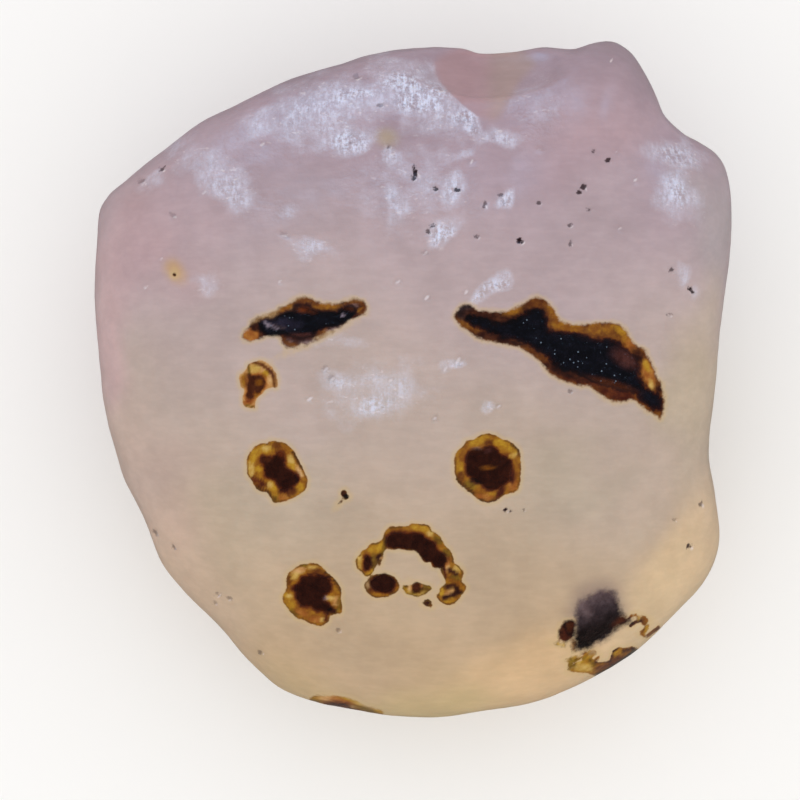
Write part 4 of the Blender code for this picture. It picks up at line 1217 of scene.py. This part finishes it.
class Recipe:
    """A material under construction: short calls for the node kinds it is made of."""

    def __init__(self, name: str) -> None:
        """Starts an empty material with a Principled surface."""
        self.material = bpy.data.materials.new(name)
        self.material.use_nodes = True
        self.tree = self.material.node_tree
        self.shader = self.tree.nodes["Principled BSDF"]
        self.places: dict[tuple[float, float, float], bpy.types.NodeSocket] = {}

    def node(self, kind: str, **settings: object) -> bpy.types.Node:
        """Adds a node and sets its properties."""
        made = self.tree.nodes.new(kind)
        for name, value in settings.items():
            setattr(made, name, value)
        return made

    def feed(self, socket: bpy.types.NodeSocket, value: object) -> None:
        """Links an output into a socket, or sets the socket to a number or a colour."""
        if isinstance(value, bpy.types.NodeSocket):
            self.tree.links.new(value, socket)
        elif isinstance(value, tuple) and socket.type == "RGBA":
            socket.default_value = (*value, 1.0)
        else:
            socket.default_value = value

    def math(self, operation: str, first: object, second: object) -> bpy.types.NodeSocket:
        """Joins two numbers by a Math node."""
        made = self.node("ShaderNodeMath", operation=operation)
        self.feed(made.inputs[0], first)
        self.feed(made.inputs[1], second)
        return made.outputs[0]

    def plus(self, first: object, second: object) -> bpy.types.NodeSocket:
        """Adds two numbers."""
        return self.math("ADD", first, second)

    def times(self, *factors: object) -> bpy.types.NodeSocket:
        """Multiplies numbers."""
        product = factors[0]
        for factor in factors[1:]:
            product = self.math("MULTIPLY", product, factor)
        return product

    def step(
        self, value: object, low: object, high: object, start: object = 0.0, end: float = 1.0
    ) -> bpy.types.NodeSocket:
        """Maps a number from low-high to start-end along an S-curve."""
        made = self.node("ShaderNodeMapRange", interpolation_type="SMOOTHSTEP")
        for socket, number in zip(made.inputs, (value, low, high, start, end)):
            self.feed(socket, number)
        return made.outputs[0]

    def mix(self, share: object, first: object, second: object) -> bpy.types.NodeSocket:
        """Mixes two colours by a share."""
        made = self.node("ShaderNodeMix", data_type="RGBA")
        self.feed(made.inputs[0], share)
        self.feed(made.inputs[6], first)
        self.feed(made.inputs[7], second)
        return made.outputs[2]

    def blend(self, share: object, first: object, second: object) -> bpy.types.NodeSocket:
        """Mixes two numbers by a share."""
        made = self.node("ShaderNodeMix", data_type="FLOAT")
        for socket, value in zip((made.inputs[0], made.inputs[2], made.inputs[3]), (share, first, second)):
            self.feed(socket, value)
        return made.outputs[0]

    def scaled(self, colour: object, factor: object) -> bpy.types.NodeSocket:
        """A colour times a number."""
        made = self.node("ShaderNodeVectorMath", operation="SCALE")
        self.feed(made.inputs[0], colour)
        self.feed(made.inputs["Scale"], factor)
        return made.outputs[0]

    def thicker(self, colour: object, thickness: object) -> bpy.types.NodeSocket:
        """What a clear stain shows at another thickness: its colour raised to that power."""
        made = self.node("ShaderNodeGamma")
        self.feed(made.inputs["Color"], colour)
        self.feed(made.inputs["Gamma"], thickness)
        return made.outputs[0]

    def attribute(self, name: str) -> bpy.types.NodeSocket:
        """Reads a number carried by the mesh."""
        return self.node("ShaderNodeAttribute", attribute_name=name).outputs["Fac"]

    def painted(self, name: str) -> bpy.types.NodeSocket:
        """Reads a colour carried by the mesh."""
        return self.node("ShaderNodeAttribute", attribute_name=name).outputs["Color"]

    def place(self, stretch: tuple[float, float, float] = (1.0, 1.0, 1.0)) -> bpy.types.NodeSocket:
        """Place on the piece in millimetres, times a stretch. Each stretch is made once."""
        if stretch not in self.places:
            made = self.node("ShaderNodeMapping")
            self.feed(made.inputs["Vector"], self.node("ShaderNodeTexCoord").outputs["Object"])
            made.inputs["Scale"].default_value = tuple(part / MM for part in stretch)
            self.places[stretch] = made.outputs["Vector"]
        return self.places[stretch]

    def noise(self, kind: Noise) -> bpy.types.NodeSocket:
        """Cloud noise of a kind, around 0.5."""
        made = self.node("ShaderNodeTexNoise")
        self.feed(made.inputs["Vector"], self.place(kind.stretch))
        made.inputs["Scale"].default_value = kind.scale
        made.inputs["Detail"].default_value = kind.detail
        made.inputs["Roughness"].default_value = kind.rough
        return made.outputs["Fac"]

    def dots(self, scale: float, radius: float, share: float) -> bpy.types.NodeSocket:
        """Round dots, one in a share of the cells of a random net, with scale in cells a millimetre."""
        net = self.node("ShaderNodeTexVoronoi")
        self.feed(net.inputs["Vector"], self.place())
        net.inputs["Scale"].default_value = scale
        pick = self.node("ShaderNodeSeparateColor")
        self.feed(pick.inputs[0], net.outputs["Color"])
        chosen = self.math("LESS_THAN", pick.outputs[0], share)
        outer, inner = (edge * radius * scale for edge in DOT_EDGE)
        return self.times(self.step(net.outputs["Distance"], outer, inner), chosen)

    def around_zero(self, kind: Noise, reach: object) -> bpy.types.NodeSocket:
        """Cloud noise about zero, times a reach."""
        return self.times(self.math("SUBTRACT", self.noise(kind), 0.5), reach)


@dataclass(frozen=True)
class AgateMaterial:
    """The stone's one material: chalcedony with the stains laid into it."""

    stone: ChalcedonyFinish = ChalcedonyFinish()
    stain: StainFinish = StainFinish()

    def body_colour(self, recipe: Recipe, frost: object, wisps: object) -> bpy.types.NodeSocket:
        """The stone's colour carried by the mesh, softly clouded, and where it is frosted whiter and bluer,
        streaked and
        pocked: partly frosted stone and partly painted sheen of the window, with painted shade in the pocks
        and painted glints in bright dashes.

        Args:
            recipe: the material.
            frost: how frosted the skin is.
            wisps: soft cloud noise.

        Returns:
            The stone's colour without its stains.
        """
        look = self.stone
        clouds = recipe.step(recipe.noise(look.clouds), *look.cloud_steps)
        soft_wisps = recipe.step(wisps, *look.wisp_steps)
        streaks = recipe.step(recipe.noise(look.streaks), *look.streak_steps)
        colour = recipe.scaled(recipe.painted("body_and_light_tint"), recipe.times(clouds, soft_wisps, streaks))
        mottle = recipe.blend(look.speckle_share, recipe.noise(look.upright), recipe.noise(look.speckle))
        darkest = recipe.times(recipe.step(frost, *look.sparse), look.sparse_share)
        grain = recipe.step(mottle, *look.grain_span, darkest)
        # Frosted places painted whiter and bluer: partly the frosted stone, partly painted sheen of the
        # window
        colour = recipe.mix(recipe.times(frost, grain, look.frost_sheen_share), colour, look.frost_white_and_sheen)
        coarse = recipe.noise(look.coarse)
        # Painted shade in the frost's pocks
        pock_shade = recipe.times(recipe.step(coarse, *look.pock_span), frost, frost, look.pock_share)
        colour = recipe.mix(pock_shade, colour, look.frost_shadow)
        near_frost = recipe.step(recipe.attribute("frost"), *look.near_frost)
        # Bright dashes near frost: painted glints of the window
        glint_dashes = recipe.times(recipe.step(coarse, *look.glint_dash_span), near_frost, look.glint_dash_share)
        return recipe.mix(glint_dashes, colour, look.bruise_and_glint)

    def stained(self, recipe: Recipe, body: object, core: object) -> bpy.types.NodeSocket:
        """Lays halo, ring, outline and core over the stone, from the border inwards.

        Args:
            recipe: the material.
            body: the stone's own colour.
            core: depth inside the dark cores.

        Returns:
            The colour with the stains in it.
        """
        look = self.stain
        soft, core_soft = recipe.attribute("stain_soft"), recipe.attribute("core_soft")
        reach = recipe.plus(recipe.times(soft, look.border_ragged_by), look.border_ragged)
        edge = recipe.plus(recipe.attribute("stain_edge"), recipe.around_zero(look.border, reach))
        halo = recipe.times(recipe.step(edge, *look.halo_span), look.halo_share)
        colour = recipe.mix(halo, body, look.halo)
        clouds = recipe.noise(look.clouds)
        towards_core = recipe.step(core, *look.towards_core)
        thickness = recipe.plus(recipe.step(clouds, *look.ring_thickness), towards_core)
        ring = recipe.thicker(recipe.painted("ring_tint"), thickness)
        colour = recipe.mix(recipe.step(edge, recipe.times(soft, -1.0), soft), colour, ring)
        line = recipe.times(recipe.step(edge, *look.outline_starts), recipe.step(edge, *look.outline_ends))
        line = recipe.times(line, recipe.step(clouds, *look.outline_breaks), recipe.attribute("stain_line"))
        colour = recipe.mix(line, colour, look.outline)
        dark = recipe.thicker(recipe.painted("core_tint"), recipe.step(clouds, *look.core_thickness))
        # Painted glints: bluish specks in the cores standing for the window's reflection
        painted_glints = recipe.dots(look.glint_net, look.glint_radius, look.glint_cells)
        painted_glints = recipe.times(painted_glints, recipe.attribute("stain_glint"), recipe.step(core, *look.glint_span))
        dark = recipe.mix(painted_glints, dark, look.glint)
        starts, full = (recipe.times(core_soft, share) for share in look.core_blur_by)
        return recipe.mix(recipe.step(core, starts, full), colour, dark)

    def pitted(self, recipe: Recipe, colour: object) -> tuple[object, object]:
        """Lays the bruised lips of the pits, partly chipped white stone and partly painted glint, and then
        the dirt in them over the stone, their outlines uneven.

        Args:
            recipe: the material.
            colour: the colour so far.

        Returns:
            The colour with the pits, and how dirty each place is.
        """
        uneven = recipe.around_zero(self.stain.pit_border, 1.0)
        lip = recipe.plus(recipe.attribute("lip_edge"), recipe.times(uneven, self.stone.lip_ragged))
        # The lips: partly chipped white stone, partly painted glint of the window
        bruise_and_glint_share = recipe.times(recipe.step(lip, *self.stone.lip_span), self.stone.lip_share)
        colour = recipe.mix(bruise_and_glint_share, colour, self.stone.bruise_and_glint)
        pit = recipe.plus(recipe.attribute("pit_edge"), recipe.times(uneven, self.stain.pit_ragged))
        dirt = recipe.times(recipe.step(pit, *self.stain.pit_span), recipe.attribute("pit_dirt"))
        return recipe.mix(dirt, colour, self.stain.dirt), dirt

    def build(self) -> bpy.types.Material:
        """Makes the material.

        Returns:
            The finished material, its uniform values on the shader's own sockets.
        """
        stone, stain, recipe = self.stone, self.stain, Recipe("gobi_agate")
        sockets = recipe.shader.inputs
        patches = recipe.around_zero(stone.frost_patches, stone.patch_reach)
        frost = recipe.step(recipe.plus(recipe.attribute("frost"), patches), *stone.frost_span)
        reach = recipe.times(recipe.attribute("core_soft"), stain.core_ragged_by)
        ragged = recipe.around_zero(stain.core_border, recipe.plus(reach, stain.core_ragged))
        core = recipe.plus(recipe.attribute("stain_core"), ragged)
        in_core = recipe.step(recipe.attribute("stain_core"), *stain.crust_span)
        wisps = recipe.noise(stone.wisps)

        body = recipe.mix(recipe.attribute("smoke"), self.body_colour(recipe, frost, wisps), stain.smoke)
        colour, dirt = self.pitted(recipe, self.stained(recipe, body, core))
        recipe.feed(sockets["Base Color"], colour)

        sheen = recipe.step(wisps, *stone.wisp_polish, *stone.polish_range)
        rough = recipe.blend(frost, sheen, stone.frosted)
        recipe.feed(sockets["Roughness"], recipe.blend(in_core, rough, stain.core_roughness))

        frosty = recipe.times(recipe.attribute("frost"), stone.frost_grain)
        relief = recipe.plus(recipe.plus(frosty, recipe.times(in_core, stain.crust_grain)), stone.skin_grain)
        bump = recipe.node("ShaderNodeBump")
        bump.inputs["Strength"].default_value = 1.0
        bump.inputs["Distance"].default_value = MM
        recipe.feed(bump.inputs["Height"], recipe.around_zero(stone.grain, relief))
        recipe.feed(sockets["Normal"], bump.outputs[0])
        recipe.feed(sockets["Coat Normal"], bump.outputs[0])
        clean = recipe.math("SUBTRACT", 1.0, recipe.math("MAXIMUM", dirt, in_core))
        recipe.feed(sockets["Coat Weight"], recipe.times(frost, clean))

        sockets["IOR"].default_value = stone.ior
        sockets["Specular IOR Level"].default_value = stone.gloss
        sockets["Coat Roughness"].default_value = stone.frost_gloss
        sockets["Coat IOR"].default_value = stone.frost_ior
        sockets["Subsurface Weight"].default_value = stone.milkiness
        sockets["Subsurface Radius"].default_value = stone.scatter_reach
        sockets["Subsurface Scale"].default_value = stone.scatter_scale * MM
        return recipe.material


@dataclass
class StainCoat:
    """The stains as the mesh carries them: depths in millimetres, negative outside, and colours."""

    seen: np.ndarray
    edge: np.ndarray = field(init=False)
    core: np.ndarray = field(init=False)
    line: np.ndarray = field(init=False)
    soft: np.ndarray = field(init=False)
    core_soft: np.ndarray = field(init=False)
    glint: np.ndarray = field(init=False)
    ring_tint: np.ndarray = field(init=False)
    core_tint: np.ndarray = field(init=False)

    def __post_init__(self) -> None:
        """Starts with no stain anywhere."""
        count = len(self.seen)
        self.edge, self.core = np.full(count, -FAR_OUTSIDE), np.full(count, -FAR_OUTSIDE)
        self.line, self.glint = np.zeros(count), np.zeros(count)
        self.soft, self.core_soft = np.full(count, Marking.soft), np.full(count, Marking.core_soft)
        self.ring_tint = np.tile(AMBER.value, (count, 1))
        self.core_tint = np.tile(BLACK.value, (count, 1))

    def add(self, marking: Marking) -> None:
        """Adds one marking.

        Its tints hold where its border is the nearest one. A fleck inside a core colours the core, and any
        other colours the ring. One outside every border is a stain of its own, and a BARE one is a gap.
        """
        if marking.border:
            loop = rounded_loop(marking.border)
            border = depth_in_loop(self.seen, loop)
            nearest = border > self.edge
            self.ring_tint[nearest], self.line[nearest] = marking.ring.value, marking.line
            self.soft[nearest] = marking.soft
            self.edge = np.maximum(self.edge, border)
        cores = [rounded_loop(core) for core in marking.cores]
        for core in cores:
            depth = depth_in_loop(self.seen, core)
            nearest = depth > self.core
            self.core_tint[nearest], self.glint[nearest] = marking.core.value, marking.glint
            self.core_soft[nearest] = marking.core_soft
            self.core = np.maximum(self.core, depth)
        for shape in marking.flecks:
            depth = shape.inside(self.seen)
            if shape.tint is BARE:
                self.edge = np.minimum(self.edge, -depth)
            elif any(depth_in_loop(shape.middle(), core)[0] > 0 for core in cores):
                self.core_tint = laid_over(self.core_tint, depth, shape.tint.value, shape.soft)
            else:
                self.ring_tint = laid_over(self.ring_tint, depth, shape.tint.value, shape.soft)
                if not marking.border or depth_in_loop(shape.middle(), loop)[0] < 0:
                    self.edge = np.maximum(self.edge, depth)


@dataclass(frozen=True)
class AgateStone:
    """The whole pebble: form, weathered skin, and the stains it carries."""

    form: PebbleForm = PebbleForm()
    grid: BallGrid = BallGrid()
    swells: tuple[Undulation, ...] = (
        Undulation(3.0, 7.0, 0.030, 40, 11),
        Undulation(1.2, 2.6, 0.008, 60, 12),
        Undulation(0.6, 1.1, 0.003, 60, 13),
    )
    frost_ripple: Undulation = Undulation(0.5, 0.95, 0.014, 60, 14)
    frost_drift: Drift = (Undulation(1.4, 4.5, 0.36, 30, 16), Undulation(1.4, 4.5, 0.30, 30, 17))
    lean_bearing: float = math.radians(100)
    drift: Undulation = Undulation(7.0, 16.0, 1.3, 30, 15)
    wash_drift: Drift = (Undulation(4.0, 12.0, 1.0, 30, 18), Undulation(4.0, 12.0, 1.0, 30, 19))
    edge_blur: float = 0.12
    lip_aside: float = 0.4
    lip_turn: float = 35.0
    lip_size: tuple[float, float] = (0.75, 0.5)
    dirt_with_lip: float = 0.4
    scar_left: Colour = (0.40, 0.255, 0.28)
    scar_right: Colour = (0.385, 0.273, 0.262)
    scar_change: tuple[float, float] = (4.6, 6.4)
    scar_blur: tuple[float, float] = (-0.45, 0.35)
    scar_share: float = 0.9
    still_base: float = 0.5
    deepest_stain: float = 2.3
    stain_run: float = 0.3
    stain_hem: Undulation = Undulation(1.8, 5.0, 1.1, 30, 20)
    hem_blur: float = 0.8
    drift_starts: float = 2.0
    smoke_share: float = 0.62
    smoke_blur: tuple[float, float] = (-0.7, 1.1)
    name: str = "agate_skin"

    def crown_share(self, points: np.ndarray) -> np.ndarray:
        """1 on the crown and 0 on the keel, with a soft change across the girdle."""
        return smooth_step(points[:, 2], GIRDLE_PLANE - GIRDLE_BLUR, GIRDLE_PLANE + GIRDLE_BLUR)

    def weathered(self, points: np.ndarray, quads: np.ndarray) -> tuple[np.ndarray, dict[str, np.ndarray]]:
        """Moves the skin along its normals by the dimples, the frost's lean and ripples, and the pits.

        Args:
            points: the smooth skin.
            quads: its faces.

        Returns:
            The weathered skin, and what the mesh carries for frost, pits and the bruised lips of pits, which
            also carry a painted glint.
        """
        normals = corner_normals(points, quads)
        seen, crown = seen_from_eye(points), self.crown_share(points)
        warped = seen + drifted(points, self.frost_drift)
        outside_chip = smooth_step(depth_in_loop(seen, rounded_loop(CHIP)), self.edge_blur, -self.edge_blur)
        frost = np.max([patch.frost(warped) for patch in FROST], axis=0) * crown * outside_chip
        height = sum(swell.at(points) for swell in self.swells)
        height += sum(patch.tilted(seen, self.lean_bearing) for patch in FROST if patch.lean) * crown
        height += self.frost_ripple.at(points) * frost
        height *= smooth_step(points[:, 2], 0.0, self.still_base)
        dirt, edge, lip = np.zeros(len(points)), np.full(len(points), -1.0), np.full(len(points), -1.0)
        for pit in PITS:
            depth = pit.inside(seen)
            height -= pit.depth * smooth_step(depth, -self.edge_blur, pit.narrow()) * crown
            dirt[depth > edge] = pit.dirt
            edge = np.maximum(edge, depth)
            lip = np.maximum(lip, self.lip_of(pit).inside(seen))
        hidden = HIDING * (1 - crown)
        carried = {"frost": frost, "pit_edge": edge - hidden, "pit_dirt": dirt, "lip_edge": lip - hidden}
        return points + normals * height[:, None], carried

    def lip_of(self, pit: Pit) -> Oval:
        """The bruised lip beside a pit, set to its lower right where the window's glint falls, so partly
        chipped white stone and partly painted glint; further from it the dirtier and the larger the pit is.
        """
        aside = self.lip_aside * smooth_step(np.array(pit.dirt), 0.0, self.dirt_with_lip)
        aside *= pit.half_length + pit.half_width
        length, width = self.lip_size[0] * pit.half_length, self.lip_size[1] * pit.narrow()
        return Oval(pit.x + aside, pit.y - aside, length, width, pit.turn + self.lip_turn)

    def body_and_light_tint(self, points: np.ndarray) -> np.ndarray:
        """The stone's colour, partly its own tone and partly painted light: bands by height in the picture,
        cooler and darker towards the top edge where the cool window light falls and warmer towards the
        bottom, drifting softly, then the washes.
        """
        heights, colours = zip(*reversed(BANDS))
        level = points[:, 1] + self.drift.at(points)
        tint = np.stack([np.interp(level, heights, channel) for channel in np.array(colours).T], axis=1)
        drift = drifted(points, self.wash_drift)
        for wash in WASHES:
            tint = wash.over(tint, points[:, :2], drift)
        seen = seen_from_eye(points)
        scar = depth_in_loop(seen, rounded_loop(CHIP)) - HIDING * (1 - self.crown_share(points))
        rightwards = smooth_step(seen[:, 0], *self.scar_change)[:, None]
        tone = rightwards * np.array(self.scar_right) + (1 - rightwards) * np.array(self.scar_left)
        return tint + (tone - tint) * self.scar_share * smooth_step(scar, *self.scar_blur)[:, None]

    def unfolded(self, points: np.ndarray) -> tuple[np.ndarray, np.ndarray]:
        """Where points appear from the eye, those behind the outline unfolded outwards.

        The outline's reach and height at each bearing are those of the point that appears furthest out there.
        A point lower than that lies as far outside the outline as it appears inside it, twice over, and
        further by a share of its drop. It also drifts aside, the more the lower it is.

        Args:
            points: the weathered skin.

        Returns:
            Places on the girdle plane, one a row, and how far each point lies below the outline.
        """
        seen = seen_from_eye(points)
        reach, bearing = np.hypot(*seen.T), np.degrees(np.arctan2(seen[:, 1], seen[:, 0])) % DEGREES
        outwards = np.argsort(reach, kind="stable")
        furthest, height = np.zeros(DEGREES), np.zeros(DEGREES)
        furthest[bearing[outwards].astype(int)] = reach[outwards]
        height[bearing[outwards].astype(int)] = points[outwards, 2]
        nearby = range(-OUTLINE_SPREAD, OUTLINE_SPREAD + 1)
        height = np.mean([np.roll(height, turn) for turn in nearby], axis=0)
        middles = np.arange(DEGREES) + 0.5
        drop = np.interp(bearing, middles, height, period=DEGREES) - points[:, 2]
        hidden = np.maximum(np.interp(bearing, middles, furthest, period=DEGREES) - reach, 0)
        outside = np.where(drop > 0, 2 * hidden + self.stain_run * drop, 0)
        drift = drifted(points, self.wash_drift) * smooth_step(drop, 0, self.drift_starts)[:, None]
        return seen * (1 + outside / reach)[:, None] + drift, drop

    def stains(self, points: np.ndarray) -> dict[str, np.ndarray]:
        """What the mesh carries for the stains, which run over the outline's edge and end below it.

        Args:
            points: the weathered skin.

        Returns:
            A number or a colour for each point, by the name of its attribute.
        """
        places, drop = self.unfolded(points)
        coat = StainCoat(places)
        for marking in MARKINGS.values():
            coat.add(marking)
        hem = self.deepest_stain - drop + self.stain_hem.at(points)
        below = 2 * HIDING * (1 - smooth_step(hem, 0.0, self.hem_blur))
        smoke = self.smoke_share * smooth_step(depth_in_loop(places, rounded_loop(VEIL)), *self.smoke_blur)
        return {
            "stain_edge": coat.edge - below,
            "stain_core": coat.core - below,
            "stain_line": coat.line,
            "stain_soft": coat.soft,
            "core_soft": coat.core_soft,
            "stain_glint": coat.glint,
            "ring_tint": coat.ring_tint,
            "core_tint": coat.core_tint,
            "smoke": smoke * (below < HIDING / 2),
            "body_and_light_tint": self.body_and_light_tint(points),
        }

    def build(self) -> bpy.types.Object:
        """Makes the stone's mesh and dresses it.

        Returns:
            The piece, at the origin, in the place of the solid.
        """
        places, quads = self.grid.faces()
        smooth = self.form.skin(self.grid.directions(places))
        points, carried = self.weathered(smooth, quads)
        mesh = bpy.data.meshes.new(self.name)
        mesh.vertices.add(len(points))
        mesh.vertices.foreach_set("co", (points * MM).astype(np.float32).reshape(-1))
        mesh.loops.add(quads.size)
        mesh.loops.foreach_set("vertex_index", quads.astype(np.int32).reshape(-1))
        mesh.polygons.add(len(quads))
        mesh.polygons.foreach_set("loop_start", np.arange(0, quads.size, 4, dtype=np.int32))
        mesh.update(calc_edges=True)
        mesh.validate()
        mesh.shade_smooth()
        carried.update(self.stains(points))
        for name, values in carried.items():
            self.carry(mesh, name, values)
        mesh.materials.append(AgateMaterial().build())
        stone = bpy.data.objects.new(self.name, mesh)
        bpy.context.scene.collection.objects.link(stone)
        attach(stone, "root")
        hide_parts("agate_stone")
        return stone

    def carry(self, mesh: bpy.types.Mesh, name: str, values: np.ndarray) -> None:
        """Puts one number or one colour for each point on the mesh."""
        if values.ndim == 1:
            layer = mesh.attributes.new(name, "FLOAT", "POINT")
            layer.data.foreach_set("value", values.astype(np.float32))
            return
        layer = mesh.attributes.new(name, "FLOAT_COLOR", "POINT")
        opaque = np.column_stack([values, np.ones(len(values))])
        layer.data.foreach_set("color", opaque.astype(np.float32).reshape(-1))


@dataclass(frozen=True)
class Window:
    """A soft light that shows only in polish: bearing from +Y, angle from overhead, size and radiance."""

    name: str
    bearing: float
    slant: float
    size: tuple[float, float]
    radiance: float
    distance: float = 300.0
    colour: Colour = (0.36, 0.64, 1.0)
    aim: tuple[float, float, float] = (0.0, 0.0, 14.0)

    def build(self) -> None:
        """Makes the light: its power is radiance times pi times its area."""
        light = bpy.data.lights.new(self.name, "AREA")
        light.shape = "RECTANGLE"
        light.size, light.size_y = self.size[0] * MM, self.size[1] * MM
        light.energy = self.radiance * math.pi * light.size * light.size_y
        light.color = self.colour
        bearing, slant = math.radians(self.bearing), math.radians(self.slant)
        level = math.sin(slant)
        towards = Vector((level * math.sin(bearing), level * math.cos(bearing), math.cos(slant)))
        holder = bpy.data.objects.new(self.name, light)
        holder.location = (Vector(self.aim) + towards * self.distance) * MM
        holder.rotation_euler = towards.to_track_quat("Z", "Y").to_euler()
        holder.visible_diffuse = False
        holder.visible_camera = False
        bpy.context.scene.collection.objects.link(holder)


@dataclass(frozen=True)
class Studio:
    """A plain pale floor under soft light, and a camera straight above the stone."""

    floor_radius: float = 900.0
    floor_gap: float = 0.02
    floor_sides: int = 96
    floor_roughness: float = 0.9
    floor_colour: Colour = (0.95, 0.95, 0.945)
    mirrored_floor: Colour = (0.2, 0.19, 0.18)
    sky_colour: Colour = (1.0, 0.99, 0.98)
    sky_strength: float = 1.06
    mirrored_strength: float = 0.12
    lens: float = 100.0
    sensor: float = 36.0
    nearest_seen: float = 5.0
    windows: tuple[Window, ...] = (
        Window("top window", -12, 47, (125, 140), 7.0),
        Window("right window", 45, 54, (90, 100), 6.0),
        Window("low window", -26, 80, (100, 80), 9.0),
    )

    def build(self) -> None:
        """Makes floor, world, lights and camera."""
        self.build_floor()
        self.build_world()
        for window in self.windows:
            window.build()
        self.build_camera()

    def build_floor(self) -> None:
        """A level disc with many sides, as a fan round its middle."""
        sides = self.floor_sides
        angles = np.linspace(0, 2 * math.pi, sides, endpoint=False)
        ring = np.stack([np.cos(angles), np.sin(angles), np.zeros(sides)], axis=1) * self.floor_radius
        points = np.concatenate([ring, np.zeros((1, 3))])
        points[:, 2] = -self.floor_gap
        fan = [(sides, i, (i + 1) % sides) for i in range(sides)]
        mesh = bpy.data.meshes.new("floor")
        mesh.from_pydata((points * MM).tolist(), [], fan)
        recipe = Recipe("pale_floor")
        mirrored = recipe.node("ShaderNodeLightPath").outputs["Is Glossy Ray"]
        shade = recipe.mix(mirrored, self.floor_colour, self.mirrored_floor)
        recipe.feed(recipe.shader.inputs["Base Color"], shade)
        recipe.shader.inputs["Roughness"].default_value = self.floor_roughness
        recipe.shader.inputs["Specular IOR Level"].default_value = 0.0
        mesh.materials.append(recipe.material)
        floor = bpy.data.objects.new("floor", mesh)
        bpy.context.scene.collection.objects.link(floor)

    def build_world(self) -> None:
        """An even pale sky, dimmer where polish mirrors it, and colours shown as they are."""
        world = bpy.data.worlds.new("studio")
        world.use_nodes = True
        nodes, links = world.node_tree.nodes, world.node_tree.links
        background = nodes["Background"]
        background.inputs["Color"].default_value = (*self.sky_colour, 1.0)
        strength = nodes.new("ShaderNodeMapRange")
        strength.inputs["To Min"].default_value = self.sky_strength
        strength.inputs["To Max"].default_value = self.mirrored_strength
        links.new(nodes.new("ShaderNodeLightPath").outputs["Is Glossy Ray"], strength.inputs["Value"])
        links.new(strength.outputs[0], background.inputs["Strength"])
        bpy.context.scene.world = world
        bpy.context.scene.view_settings.view_transform = "Standard"

    def build_camera(self) -> None:
        """A camera at the eye, looking straight down, its top edge towards +Y."""
        lens = bpy.data.cameras.new("camera")
        lens.lens, lens.sensor_width = self.lens, self.sensor
        lens.clip_start = self.nearest_seen * MM
        camera = bpy.data.objects.new("camera", lens)
        camera.location = Vector((*EYE, EYE_HEIGHT + GIRDLE_PLANE)) * MM
        bpy.context.scene.collection.objects.link(camera)
        bpy.context.scene.camera = camera


def main() -> None:
    """Builds the studio and the stone, and reports each."""
    logging.basicConfig(level=logging.INFO, format="%(name)s: %(message)s")
    Studio().build()
    log.info("studio ready")
    stone = AgateStone().build()
    log.info("%s: %d faces", stone.name, len(stone.data.polygons))


if __name__ == "__main__":
    main()
